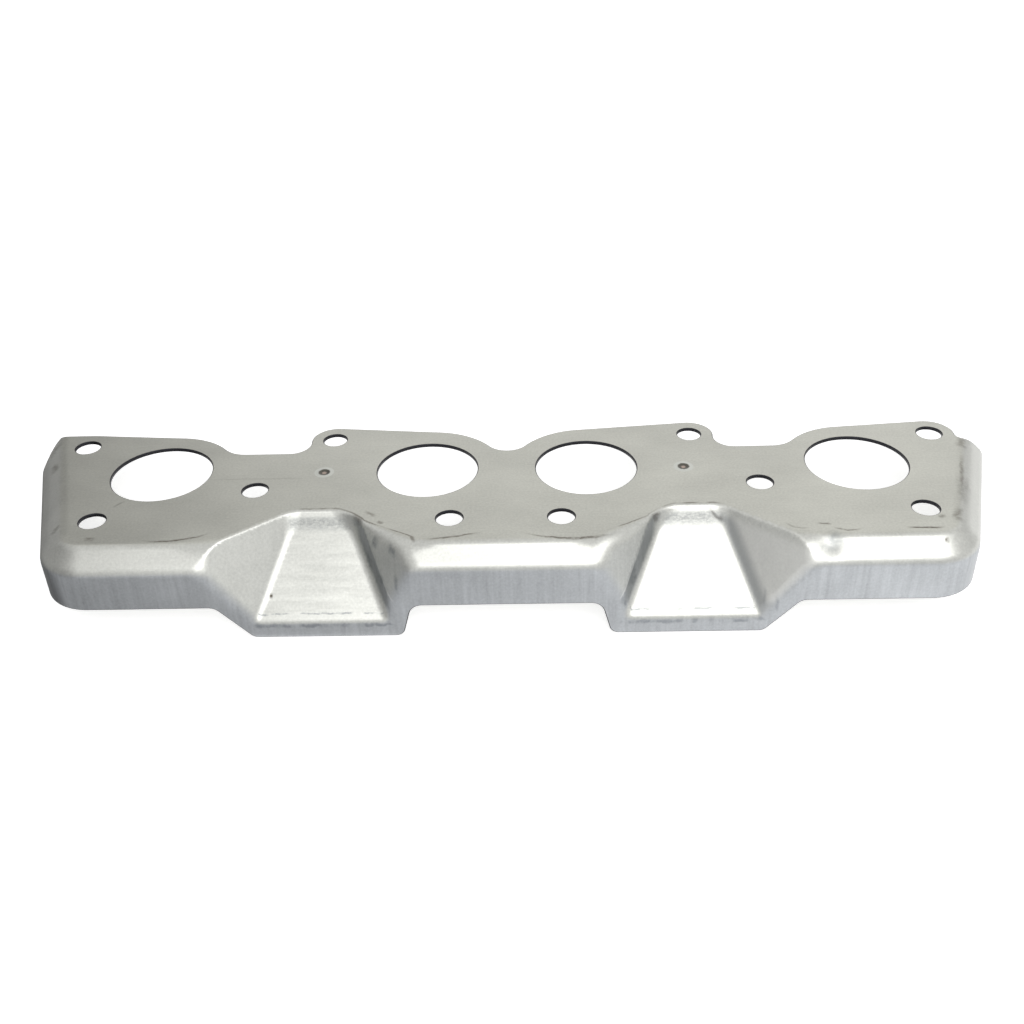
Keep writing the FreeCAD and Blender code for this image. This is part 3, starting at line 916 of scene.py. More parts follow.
class NodeBench:
    """Small helper that adds and joins shader nodes in one node tree."""

    def __init__(self, tree: Tree) -> None:
        """Keep the tree that nodes are added to."""
        self.tree = tree

    def feed(self, socket: Socket, value: object) -> None:
        """Link a socket to an output, or set its value."""
        if isinstance(value, Socket):
            self.tree.links.new(value, socket)
        else:
            socket.default_value = value

    def fill(self, node: Node, **sockets: object) -> Node:
        """Link or set a node's inputs by socket name, with _ for a space."""
        for key, value in sockets.items():
            self.feed(node.inputs[key.replace("_", " ")], value)
        return node

    def add(self, kind: str, settings: dict | None = None, **sockets: object) -> Node:
        """Add a node.

        Args:
            kind: node type without its ShaderNode prefix.
            settings: node properties by name.
            sockets: input values or links by socket name, with _ for a space.

        Returns:
            The new node.
        """
        node = self.tree.nodes.new("ShaderNode" + kind)
        for key, value in (settings or {}).items():
            setattr(node, key, value)
        return self.fill(node, **sockets)

    def math(self, operation: str, *values: object) -> Socket:
        """One math node's result."""
        node = self.add("Math", {"operation": operation})
        for socket, value in zip(node.inputs, values):
            self.feed(socket, value)
        return node.outputs[0]

    def times(self, first: object, *others: object) -> object:
        """Product of several values."""
        for other in others:
            first = self.math("MULTIPLY", first, other)
        return first

    def size(self, value: object) -> Socket:
        """A value without its sign."""
        return self.math("ABSOLUTE", value)

    def ease(self, value: object, span: Pair, ends: Pair = (0.0, 1.0)) -> Socket:
        """A value eased between two ends while it crosses a span."""
        node = self.add(
            "MapRange", {"interpolation_type": "SMOOTHSTEP"}, Value=value,
            From_Min=span[0], From_Max=span[1], To_Min=ends[0], To_Max=ends[1])
        return node.outputs["Result"]

    def blend(self, amount: object, first: object, second: object, mode: str = "MIX") -> Socket:
        """Mix of two colours."""
        node = self.add("Mix", {"data_type": "RGBA", "blend_type": mode})
        for number, value in zip(MIX_INPUTS, (amount, first, second)):
            self.feed(node.inputs[number], value)
        return node.outputs[MIX_RESULT]

    def noise(self, vector: object, scale: Triple, detail: float = 3.0, rough: float = 0.55) -> Socket:
        """Noise between 0 and 1 of a vector that is scaled along its axes."""
        scaled = self.add("Mapping", Vector=vector, Scale=scale).outputs["Vector"]
        return self.add("TexNoise", Vector=scaled, Scale=1.0, Detail=detail, Roughness=rough).outputs["Fac"]

    def swing(self, vector: object, scale: Triple, detail: float = 3.0, rough: float = 0.6) -> Socket:
        """The same noise about zero."""
        return self.math("SUBTRACT", self.noise(vector, scale, detail, rough), 0.5)

    def read(self, name: str) -> Socket:
        """A vector that the mesh carries at each point."""
        return self.add("Attribute", {"attribute_name": name}).outputs["Vector"]

    def split(self, vector: object) -> tuple[Socket, ...]:
        """The three parts of a vector."""
        return tuple(self.add("SeparateXYZ", Vector=vector).outputs)

    def toned(self, colour: object, level: object) -> Socket:
        """A colour made lighter or darker by a level about one."""
        grey = self.add("CombineXYZ", X=level, Y=level, Z=level).outputs[0]
        return self.blend(1.0, colour, grey, "MULTIPLY")


def new_group(name: str, vectors: Names, numbers: Names, results: Names) -> tuple[NodeBench, object, object]:
    """An empty shader node group with named sockets.

    Args:
        name: name of the group.
        vectors: names of its vector inputs.
        numbers: names of its number inputs.
        results: names of its number outputs.

    Returns:
        A bench for the group, the sockets that bring its inputs, and the sockets that take its results.
    """
    tree = bpy.data.node_groups.new(name, "ShaderNodeTree")
    sockets = [(key, "INPUT", "NodeSocketVector") for key in vectors]
    sockets += [(key, "INPUT", "NodeSocketFloat") for key in numbers]
    sockets += [(key, "OUTPUT", "NodeSocketFloat") for key in results]
    for key, way, kind in sockets:
        tree.interface.new_socket(name=key, in_out=way, socket_type=kind)
    source, sink = tree.nodes.new("NodeGroupInput"), tree.nodes.new("NodeGroupOutput")
    return NodeBench(tree), source.outputs, sink.inputs


def new_material(name: str) -> tuple[Material, NodeBench, Node]:
    """A new material, a bench for its nodes, and its surface shader."""
    material = bpy.data.materials.new(name)
    material.use_nodes = True
    return material, NodeBench(material.node_tree), material.node_tree.nodes["Principled BSDF"]


def place_object(name: str, data: bpy.types.ID) -> bpy.types.Object:
    """A new object in the scene that shows some data."""
    thing = bpy.data.objects.new(name, data)
    bpy.context.scene.collection.objects.link(thing)
    return thing


def stand(thing: bpy.types.Object, axes: Array, place: Triple) -> None:
    """Stand an object at a place, with the columns of the axes as its own X, Y and Z."""
    frame = Matrix(axes.tolist()).to_4x4()
    frame.translation = place
    thing.matrix_world = frame


def rolled_grain_group() -> Tree:
    """Mill grain of rolled sheet: long fine streaks, pepper and slow mottling, each about zero."""
    bench, source, sink = new_group("rolled_grain", ("Place",), (), ("Streaks", "Pepper", "Mottle"))
    place = source["Place"]
    bench.feed(sink["Streaks"], bench.swing(place, (0.035, 1.6, 1.6), 4.0))
    bench.feed(sink["Pepper"], bench.swing(place, (1.1, 1.1, 1.1), 2.0))
    bench.feed(sink["Mottle"], bench.swing(place, (0.022, 0.04, 0.04)))
    return bench.tree


def scuff_and_shade_group() -> Tree:
    """One dark patch, as used for a rubbed mark and for painted shade: a ragged bowed streak about a middle,
    faded at its ends and broken up by noise.
    """
    bench, source, sink = new_group(
        "rubbed_mark_or_shade", ("Place", "Middle", "Turn"), ("Length", "Width", "Strength", "Bend"), ("Mask",))
    place, length, width, bend = (source[key] for key in ("Place", "Length", "Width", "Bend"))
    offset = bench.add("VectorMath", {"operation": "SUBTRACT"})
    bench.feed(offset.inputs[0], place)
    bench.feed(offset.inputs[1], source["Middle"])
    turned = bench.add(
        "VectorRotate", {"rotation_type": "EULER_XYZ"}, Vector=offset.outputs[0], Rotation=source["Turn"])
    x, y, z = bench.split(turned.outputs[0])

    wander = bench.swing(place, (0.25, 0.25, 0.25), 2.0, 0.55)
    side = bench.math("MULTIPLY_ADD", wander, bench.times(width, 1.6), y)
    side = bench.math("SUBTRACT", side, bench.times(x, x, bend))
    side = bench.math("ADD", side, bench.times(length, length, bend))
    across = bench.ease(bench.math("DIVIDE", bench.size(side), width), (0.0, 1.0), FADE)
    along = bench.ease(bench.math("DIVIDE", bench.size(x), length), (0.30, 1.0), FADE)
    broken = bench.ease(bench.noise(place, (0.45, 0.8, 0.8), 4.0, 0.6), (0.22, 0.58), (0.25, 1.0))
    on_face = bench.ease(bench.size(z), (1.5, 4.0), FADE)
    bench.feed(sink["Mask"], bench.times(across, along, broken, source["Strength"], on_face))
    return bench.tree


@dataclass(frozen=True)
class PatternShares:
    """How much each pattern in the steel counts for one property of the finish."""

    mottle: float = 0.0
    streaks: float = 0.0
    pepper: float = 0.0
    draw_lines: float = 0.0
    deep_lines: float = 0.0
    cross_rub: float = 0.0
    floor: float = 0.0
    glint: float = 0.0
    marks: float = 0.0
    galled: float = 0.0

    def add_up(self, bench: NodeBench, patterns: dict[str, Socket], base: float) -> object:
        """A base plus each pattern times its share.

        Args:
            bench: where the nodes are added.
            patterns: the patterns by name.
            base: value without any pattern.

        Returns:
            The sum.
        """
        total: object = base
        for key, pattern in patterns.items():
            share = getattr(self, key)
            if share:
                total = bench.math("MULTIPLY_ADD", pattern, share, total)
        return total


@dataclass(frozen=True)
class CreaseLine:
    """A dark line along a crease: how far it wobbles, the span in which it fades, and its strength."""

    wobble: float
    span: Pair
    strength: float

    def mask(self, bench: NodeBench, noise: Socket, away: Socket, *shares: Socket) -> object:
        """The line's mask.

        Args:
            bench: where the nodes are added.
            noise: noise about zero that the line wobbles by.
            away: distance from the crease.
            shares: masks that the line is kept within.

        Returns:
            The mask, strongest on the crease.
        """
        near = bench.size(bench.math("MULTIPLY_ADD", noise, self.wobble, away))
        return bench.times(bench.ease(near, self.span, (self.strength, 0.0)), *shares)


@dataclass(frozen=True)
class PressedSteel:
    """Satin rolled steel as it comes from the press: grain, draw lines, rub marks and dark scuffs, with
    painted light and shade on top: a darker bluish skirt that paints the bench's reflection, shade under the
    channels' feet and on their walls, a lighter outer wall, highlights along the inner walls' creases, and
    grey patches, one a painted reflection.
    """

    plate: Colour = (0.49, 0.49, 0.445, 1.0)
    # Skirt colour: the drawn steel, darker and bluish as a painted reflection of the bench in front of the
    # skirt.
    drawn: Colour = (0.39, 0.405, 0.42, 1.0)
    rubbed: Colour = (0.54, 0.545, 0.52, 1.0)
    grime: Colour = (0.095, 0.078, 0.060, 1.0)
    shaded: Colour = (0.15, 0.165, 0.18, 1.0)
    # Pale tint for painted light on the right channel's outer wall and painted highlights along the inner
    # walls' crease.
    painted_light: Colour = (0.72, 0.72, 0.70, 1.0)
    galling: Colour = (0.23, 0.24, 0.24, 1.0)
    roughness: float = 0.36
    tone: PatternShares = PatternShares(
        mottle=0.38, streaks=0.10, pepper=0.36, draw_lines=0.40, deep_lines=-0.10, cross_rub=0.45,
        floor=-0.06)
    gloss: PatternShares = PatternShares(mottle=0.10, pepper=0.08, glint=-0.06, marks=0.25, galled=0.10)
    relief: PatternShares = PatternShares(
        streaks=0.12, pepper=0.12, draw_lines=0.8, cross_rub=0.4, galled=0.5)
    relief_strength: float = 0.35
    relief_height: float = 0.0002
    worked_share: float = 0.75
    galled_share: float = 0.7
    # Share of painted light on the right channel's outer wall.
    outer_wall_light: float = 0.35
    # Even painted shade on the channels' inner walls.
    inner_shade: float = 0.14
    # Band of painted shade on the right channel's outer wall, next to the floor.
    band_strength: float = 0.50
    band_span: Pair = (1.6, 4.2)
    # Strength of the painted shade streaks on the inner walls' steep strip.
    shade_streak_strength: float = 0.40
    # Painted highlight along the inner walls' crease under the flare.
    crease_highlight_strength: float = 0.35
    crease_highlight_span: Pair = (0.1, 0.7)
    dash_offset: float = 1.8
    thin_line: CreaseLine = CreaseLine(0.9, (0.1, 0.6), 0.60)
    ragged_line: CreaseLine = CreaseLine(2.6, (0.2, 1.1), 0.55)
    dashed_line: CreaseLine = CreaseLine(1.6, (0.1, 0.5), 0.60)
    draw_scale: Triple = (0.60, 0.030, 0.030)
    deep_scale: Triple = (0.30, 0.02, 0.02)
    rub_scale: Triple = (0.04, 0.30, 0.30)
    glint_scale: Triple = (0.25, 0.45, 0.45)
    gall_scale: Triple = (0.8, 1.3, 1.3)
    # Scale of the painted shade streaks on the inner walls.
    shade_streak_scale: Triple = (0.17, 0.17, 0.11)
    wobble_scale: Triple = (0.30, 0.30, 0.30)
    fade_scale: Triple = (0.07, 0.07, 0.07)
    gap_scale: Triple = (0.25, 0.1, 0.1)
    scuffs: tuple[ScuffOrShade, ...] = ()
    # Grey patches in the shaded colour: one is a painted reflection on the right bevel, the others darken
    # spots on the channels.
    dark_patches: tuple[ScuffOrShade, ...] = ()

    @staticmethod
    def mark_mask(bench: NodeBench, place: Socket, mark: Tree, scuffs: tuple[ScuffOrShade, ...]) -> object:
        """The strongest of some marks at each place.

        Args:
            bench: where the nodes are added.
            place: the place in the plate's frame.
            mark: the group for rubbed marks and painted shade patches.
            scuffs: the marks: rubbed scuffs in one call, and grey patches, some of them painted shade, in
                the other.

        Returns:
            The mask, or 0 where there are no marks.
        """
        mask: object = 0.0
        for scuff in scuffs:
            node = bench.add(
                "Group", {"node_tree": mark}, Place=place, Middle=(*scuff.middle, scuff.height),
                Turn=(0.0, 0.0, -math.radians(scuff.turn_deg)), Length=scuff.length, Width=scuff.width,
                Strength=scuff.strength, Bend=scuff.bend)
            mask = bench.math("MAXIMUM", mask, node.outputs["Mask"])
        return mask

    def crease_masks(self, bench: NodeBench, place: Socket) -> tuple[Socket, Socket]:
        """Thin dark line where the plate turns into a channel, and ragged lines of painted shade under the
        channel's foot.
        """
        offset, plate, foot = bench.split(bench.read("lines"))
        under = bench.math("ADD", bench.split(bench.read("strips"))[0], self.dash_offset)
        wobble = bench.swing(place, self.wobble_scale)
        fade = bench.ease(bench.noise(place, self.fade_scale, 2.0), (0.40, 0.58))
        gaps = bench.ease(bench.noise(place, self.gap_scale), (0.38, 0.60))
        thin = self.thin_line.mask(bench, wobble, offset, fade, plate)
        ragged = self.ragged_line.mask(bench, wobble, offset, gaps, foot)
        dashes = self.dashed_line.mask(bench, wobble, under, gaps, foot)
        return thin, bench.math("MAXIMUM", ragged, dashes)

    def build(self, grain: Tree, mark: Tree) -> Material:
        """Make the material.

        Args:
            grain: the rolled grain group.
            mark: the group for rubbed marks and painted shade patches.

        Returns:
            The material.
        """
        material, bench, shader = new_material("pressed_steel")
        place, drawn = bench.read("place"), bench.read("drawn")
        floor, worked, skirt = bench.split(bench.read("facet"))
        offset, wall, brow = bench.split(bench.read("strips"))
        rolled = bench.add("Group", {"node_tree": grain}, Place=place).outputs
        deep_lines = bench.ease(bench.noise(drawn, self.deep_scale, 2.0), (0.58, 0.74))
        glint = bench.ease(bench.noise(place, self.glint_scale, 4.0, 0.7), (0.52, 0.72))
        galled = bench.ease(bench.noise(place, self.gall_scale, 5.0, 0.7), (0.30, 0.66), (0.35, 1.0))
        patterns = {
            "mottle": rolled["Mottle"],
            "streaks": bench.times(rolled["Streaks"], bench.math("SUBTRACT", 1.0, skirt)),
            "pepper": rolled["Pepper"],
            "draw_lines": bench.times(bench.swing(drawn, self.draw_scale), skirt),
            "deep_lines": bench.times(deep_lines, skirt),
            "cross_rub": bench.times(bench.swing(place, self.rub_scale, 4.0), floor),
            "floor": floor,
            "glint": bench.times(glint, floor),
            "marks": self.mark_mask(bench, place, mark, self.scuffs),
            "galled": bench.times(galled, brow),
        }

        # The skirt takes the drawn colour, whose darker bluish tint is a painted reflection of the bench.
        colour = bench.blend(skirt, self.plate, self.drawn)
        colour = bench.blend(bench.times(worked, self.worked_share), colour, self.rubbed)
        colour = bench.toned(colour, self.tone.add_up(bench, patterns, 1.0))
        thin, ragged = self.crease_masks(bench, place)
        inner = bench.math("MAXIMUM", wall, 0.0)
        outer = bench.math("MAXIMUM", bench.times(wall, -1.0), 0.0)
        # Painted shade on the inner walls: streaks on the steep strip by the floor, fading out above it,
        # plus an even darkening.
        inner_wall_shade = bench.ease(bench.noise(place, self.shade_streak_scale), (0.52, 0.66), (0.0, self.shade_streak_strength))
        inner_wall_shade = bench.times(inner_wall_shade, bench.ease(offset, (0.0, 1.0), FADE))
        inner_wall_shade = bench.math("ADD", inner_wall_shade, self.inner_shade)
        # Painted shade: a band on the outer wall next to the floor.
        band = bench.ease(offset, self.band_span, (self.band_strength, 0.0))
        # Painted highlight: a pale line along the inner walls' crease.
        crease_highlight = bench.ease(bench.size(offset), self.crease_highlight_span, (self.crease_highlight_strength, 0.0))
        layers = (
            (patterns["marks"], self.grime),
            # Grey patches, one of them a painted reflection on the right bevel over the dent.
            (self.mark_mask(bench, place, mark, self.dark_patches), self.shaded),
            (thin, self.grime),
            # Ragged lines and dashes under the channels' feet: painted shade.
            (ragged, self.shaded),
            # Right channel's outer wall made lighter: painted light.
            (bench.times(outer, self.outer_wall_light), self.painted_light),
            # Band along the outer wall by the floor: painted shade.
            (bench.times(band, outer), self.shaded),
            # Inner walls darkened: painted shade.
            (bench.times(inner_wall_shade, inner), self.shaded),
            # Pale line along the inner walls' crease: painted highlight.
            (bench.times(crease_highlight, inner), self.painted_light),
            (bench.times(patterns["galled"], self.galled_share), self.galling),
        )
        for mask, layer in layers:
            colour = bench.blend(mask, colour, layer)

        rough = self.gloss.add_up(bench, patterns, self.roughness)
        bump = bench.add(
            "Bump", Strength=self.relief_strength, Distance=self.relief_height,
            Height=self.relief.add_up(bench, patterns, 0.0))
        bench.fill(shader, Base_Color=colour, Roughness=rough, Metallic=1.0, Normal=bump.outputs["Normal"])
        return material


@dataclass(frozen=True)
class CutEdge:
    """Sheared edge of the sheet: darker and rougher than its faces, and peppered."""

    colour: Colour = (0.035, 0.035, 0.04, 1.0)
    roughness: float = 0.45
    tone_pepper: float = 0.5
    rough_pepper: float = 0.2

    def build(self, grain: Tree) -> Material:
        """Make the material with the rolled grain group."""
        material, bench, shader = new_material("sheared_edge")
        pepper = bench.add("Group", {"node_tree": grain}, Place=bench.read("place")).outputs["Pepper"]
        colour = bench.toned(self.colour, bench.math("MULTIPLY_ADD", pepper, self.tone_pepper, 1.0))
        rough = bench.math("MULTIPLY_ADD", pepper, self.rough_pepper, self.roughness)
        bench.fill(shader, Base_Color=colour, Roughness=rough, Metallic=1.0)
        return material


@dataclass(frozen=True)
class WeldMark:
    """Spot-weld mark: a heat-browned middle, a dark ring, and a pale halo round it."""

    burnt: Colour = (0.42, 0.34, 0.29, 1.0)
    ring: Colour = (0.11, 0.105, 0.09, 1.0)
    halo: Colour = (0.56, 0.57, 0.53, 1.0)
    ring_span: Pair = (0.5, 1.2)
    halo_span: Pair = (2.0, 2.6)
    roughness: float = 0.42
    ragged: float = 0.7
    rough_pepper: float = 0.2

    def build(self, grain: Tree, form: SheetForm) -> Material:
        """Make the material.

        Args:
            grain: the rolled grain group.
            form: the sheet, for the mark's place.

        Returns:
            The material.
        """
        material, bench, shader = new_material("weld_mark")
        place = bench.read("place")
        pepper = bench.add("Group", {"node_tree": grain}, Place=place).outputs["Pepper"]
        x, y, _ = bench.split(place)
        x = bench.math("SUBTRACT", bench.size(bench.math("SUBTRACT", x, form.weld_shift)), form.weld[0])
        y = bench.math("SUBTRACT", y, form.weld[1])
        reach = bench.math("SQRT", bench.math("ADD", bench.times(x, x), bench.times(y, y)))
        reach = bench.math("MULTIPLY_ADD", pepper, self.ragged, reach)
        colour = bench.blend(bench.ease(reach, self.ring_span), self.burnt, self.ring)
        colour = bench.blend(bench.ease(reach, self.halo_span), colour, self.halo)
        rough = bench.math("MULTIPLY_ADD", pepper, self.rough_pepper, self.roughness)
        bench.fill(shader, Base_Color=colour, Roughness=rough, Metallic=1.0)
        return material


@dataclass(frozen=True)
class MarkAndShadeZones:
    """Ranges in which the marks of pressing, and the painted light and shade on the channels, fade in: by
    facing, by height in millimetres, and by side.
    """

    floor_facing: Pair = (0.965, 0.995)
    floor_clear: Pair = (1.0, 3.0)
    floor_depth: Pair = (0.5, 2.5)
    floor_middle: float = 68.0
    floor_half: float = 34.0
    skirt_flat: Pair = (0.55, 0.15)
    worked_flat: Pair = (0.985, 0.93)
    foot_facing: Pair = (0.80, 0.92)
    foot_height: Pair = (-20.0, -26.0)
    plate_height: Pair = (-0.9, -0.35)
    plate_side: Pair = (-0.45, 0.0)
    line_facing: float = 0.8
    line_reach: float = 20.0
    within: Pair = (-1.5, -0.3)
    wall_facing: Pair = (0.80, 0.70)
    wall_height: Pair = (-5.0, -9.0)
    wall_side: Pair = (-0.1, 0.2)
    outer_height: Pair = (-2.0, -5.0)
    outer_side: Pair = (-0.25, -0.50)
    brow_facing: Pair = (0.80, 0.95)
    brow_top: Pair = (-1.6, -3.0)
    brow_foot: Pair = (-7.4, -5.0)
    end_zone: Pair = (150.0, 185.0)
    end_run: float = 0.9


@dataclass
class GasketSheet:
    """The pressed sheet: skin, inner face, sheared edges and weld marks in one mesh."""

    form: SheetForm
    name: str = "pressed_sheet"
    body: str = "root"
    node: str = "gasket_sheet"
    slot: str = "steel_sheet"
    edge_turns: int = 4
    weld_rings: int = 9
    weld_dish: float = 0.28
    weld_ridge: float = 0.10
    dish_span: Pair = (0.9, 2.1)
    ridge_spans: tuple[Pair, Pair] = ((1.7, 2.4), (2.4, 3.5))
    weld_margin: float = 1.0
    weld_step: float = 0.02
    wave_height: float = 0.05
    wave_step: float = 0.05
    dent_place: Triple = (117.5, -52.2, -2.2)
    dent_reach: float = 4.2
    dent_depth: float = 1.1
    zones: MarkAndShadeZones = MarkAndShadeZones()

    def wave(self, points: Array) -> Array:
        """Slow unevenness of the pressed faces, below the true face: long sine waves and one soft dent."""
        x, y, z = points.T
        phases = (x / 17.0 + y / 23.0, y / 11.0 - x / 41.0 + 1.3, x / 9.0 + z / 7.0 + 2.1)
        swell = sum(np.sin(phase) for phase in phases) / len(phases)
        away = np.linalg.norm(points - np.asarray(self.dent_place), axis=1) / self.dent_reach
        return self.wave_height * (swell - 1.0) - self.dent_depth * np.exp(-away ** 2)

    def waved(self, skin: Skin) -> Skin:
        """The skin moved by its waves, with normals leaned by the waves' slope."""
        slope = np.stack([
            (self.wave(skin.points + step) - self.wave(skin.points - step)) / (2.0 * self.wave_step)
            for step in self.wave_step * np.eye(3)], axis=1)
        slope -= row_dot(slope, skin.normals)[:, None] * skin.normals
        points = skin.points + self.wave(skin.points)[:, None] * skin.normals
        return Skin(points, unit(skin.normals - slope), skin.triangles)

    def edge_profile(self, radius: float) -> Array:
        """Rounded edge from the outer to the inner face: way out, way down, and the normal's two parts."""
        turn = np.linspace(0.0, math.pi / 2, self.edge_turns + 1)
        sine, cosine = np.sin(turn), np.cos(turn)
        upper = np.column_stack([radius * sine, radius * (1.0 - cosine), sine, cosine])
        lower = upper[::-1] * np.array([1.0, 1.0, 1.0, -1.0])
        lower[:, 1] = self.form.sheet - lower[:, 1]
        return np.concatenate([upper, lower])[1:-1]

    def weld_height(self, reach: Array) -> Array:
        """Height of a weld mark from its middle out: a dished middle, a low ridge, and level ground."""
        dish = -self.weld_dish * (1.0 - smooth(*self.dish_span, reach))
        up, down = (smooth(*span, reach) for span in self.ridge_spans)
        return dish + self.weld_ridge * up * (1.0 - down)

    def join(self, skin: Skin, radius: float) -> MeshParts:
        """Both faces, the edges between them and the weld marks.

        Args:
            skin: the trimmed outer face.
            radius: radius of the rounded edge.

        Returns:
            The joined points and triangles.
        """
        parts = MeshParts()
        outer = parts.add_points(skin.points, skin.normals)
        inner = parts.add_points(skin.points - self.form.sheet * skin.normals, -skin.normals)
        parts.add_triangles(skin.triangles + outer, Face.SKIN)
        parts.add_triangles(skin.triangles[:, ::-1] + inner, Face.SKIN)
        sides = open_sides(skin.triangles)
        middles = skin.points[sides].mean(axis=1)
        is_weld = np.zeros(len(sides), bool)
        for x, y, reach in self.form.welds():
            ring = np.hypot(middles[:, 0] - x, middles[:, 1] - y) < reach + self.weld_margin
            self.add_weld(parts, skin, sides[ring], (x, y), inner)
            is_weld |= ring
        self.add_edge(parts, skin, sides[~is_weld], radius, inner)
        return parts

    def add_edge(self, parts: MeshParts, skin: Skin, sides: Array, radius: float, inner: int) -> None:
        """Carry the rounded edge profile along the open sides.

        Args:
            parts: what the points and triangles are added to.
            skin: the outer face.
            sides: open sides of the skin, as pairs of point numbers.
            radius: radius of the rounded edge.
            inner: number of the inner face's first point.
        """
        rim, local = np.unique(sides, return_inverse=True)
        local = local.reshape(-1, 2)
        after = np.zeros(len(rim), int)
        before = np.zeros(len(rim), int)
        after[local[:, 0]] = local[:, 1]
        before[local[:, 1]] = local[:, 0]
        points, normals = skin.points[rim], skin.normals[rim]
        out = unit(np.cross(points[after] - points[before], normals))
        upper = rim
        for along, down, lean, rise in self.edge_profile(radius):
            start = parts.add_points(points + along * out - down * normals, lean * out + rise * normals)
            lower = start + np.arange(len(rim))
            parts.add_strip(upper, lower, local, Face.CUT_EDGE)
            upper = lower
        parts.add_strip(upper, inner + rim, local, Face.CUT_EDGE)

    def add_weld(self, parts: MeshParts, skin: Skin, sides: Array, centre: Pair, inner: int) -> None:
        """Carry the weld mark's profile inwards from its ring, and close the inner face behind it.

        Args:
            parts: what the points and triangles are added to.
            skin: the outer face.
            sides: open sides of the skin round the mark, as pairs of point numbers.
            centre: middle of the mark in plan.
            inner: number of the inner face's first point.
        """
        rim, local = np.unique(sides, return_inverse=True)
        local = local.reshape(-1, 2)
        points, normals = skin.points[rim], skin.normals[rim]
        middle = np.append(np.asarray(centre), points[:, 2].mean())
        spokes = points - middle
        upper = rim
        reach = np.linalg.norm(spokes, axis=1)
        for share in np.linspace(1.0, 0.0, self.weld_rings + 1)[1:-1]:
            here = share * reach
            ahead, behind = self.weld_height(here + self.weld_step), self.weld_height(here - self.weld_step)
            slope = (ahead - behind) / (2.0 * self.weld_step)
            rise = self.weld_height(here)[:, None] * UP
            tilt = unit(normals - slope[:, None] * spokes / reach[:, None])
            lower = parts.add_points(middle + share * spokes + rise, tilt) + np.arange(len(rim))
            parts.add_strip(upper, lower, local, Face.WELD)
            upper = lower
        up = UP[None, :]
        tip = parts.add_points(middle[None, :] + self.weld_height(np.zeros(1))[0] * up, up)
        a, b = local.T
        parts.add_triangles(np.stack([upper[b], upper[a], np.full(len(a), tip)], 1), Face.WELD)
        back = parts.add_points(middle[None, :] - self.form.sheet * up, -up)
        parts.add_triangles(np.stack([inner + rim[a], inner + rim[b], np.full(len(a), back)], 1), Face.SKIN)

    def facets(self, points: Array) -> Array:
        """Shares of channel floor, worked metal and skirt at each point, from the form's slope there."""
        zones = self.zones
        normal = unit(self.form.skin(points).slope)
        facing = normal @ self.form.channel_planes()[0][0]
        beside = np.abs(np.abs(points[:, 0]) - zones.floor_middle)
        clear = -self.form.wall(points).value
        floor = smooth(*zones.floor_facing, facing) * smooth(*zones.floor_clear, clear)
        floor *= smooth(*zones.floor_depth, -points[:, 2]) * (beside < zones.floor_half)
        flat = np.abs(normal[:, 2])
        skirt = smooth(*zones.skirt_flat, flat)
        worked = smooth(*zones.worked_flat, flat) * (1.0 - skirt)
        return np.column_stack([floor, worked, skirt])

    def lines(self, points: Array) -> Array:
        """Distance from the bend line round each channel, the share of plate, and the share of skirt under a
        foot that takes painted shade.
        """
        zones = self.zones
        slope = self.form.channel(points).slope
        facing = slope @ self.form.channel_planes()[0][0]
        height = points[:, 2]
        foot = smooth(*zones.foot_facing, facing) * smooth(*zones.foot_height, height)
        offset = np.clip(self.form.creases(points)[0], -zones.line_reach, zones.line_reach)
        inner = smooth(*zones.plate_side, slope[:, 0] * np.sign(points[:, 0]))
        return np.column_stack([offset, smooth(*zones.plate_height, height) * inner, foot])

    def strips(self, points: Array) -> Array:
        """Distance from a line along the channel's walls, its share, and the share of galled brow.

        On an inner wall the line is the crease under the flare, which takes a painted highlight, and its
        share, which takes painted shade, is positive. On the right channel's outer wall it is the floor's
        edge, and its share, which takes painted light and a band of painted shade, is negative.

        Args:
            points: places, one row each.

        Returns:
            Distance, wall share and brow share, one row each.
        """
        zones = self.zones
        channel = self.form.channel(points)
        floor = self.form.channel_planes()[0]
        facing = channel.slope @ floor[0]
        side = channel.slope[:, 0] * np.sign(points[:, 0])
        height = points[:, 2]
        on_floor = facing > zones.line_facing
        offset = np.where(on_floor, self.form.creases(points)[1], self.form.strip_offset(points))
        offset = np.clip(offset, -zones.line_reach, zones.line_reach)
        within = smooth(*zones.within, channel.value)
        wall = within * smooth(*zones.wall_facing, facing) * smooth(*zones.wall_height, height)
        wall *= smooth(*zones.wall_side, side)
        outer = within * smooth(*zones.outer_height, height) * smooth(*zones.outer_side, side)
        outer *= points[:, 0] > 0.0
        offset = np.where(outer > 0.0, plane(points, *floor).value, offset)
        brow = smooth(*zones.brow_facing, facing) * smooth(*zones.brow_top, height)
        brow *= smooth(*zones.brow_foot, height)
        return np.column_stack([offset, wall - outer, brow])

    def around(self, points: Array) -> Array:
        """Run along the rim for the draw lines, and depth: X on the front, and the way round the ends."""
        x, y, z = points.T
        ends = smooth(*self.zones.end_zone, np.abs(x))
        run = x + np.sign(x) * ends * (y + self.form.front_face) * self.zones.end_run
        return np.column_stack([run, z, y])

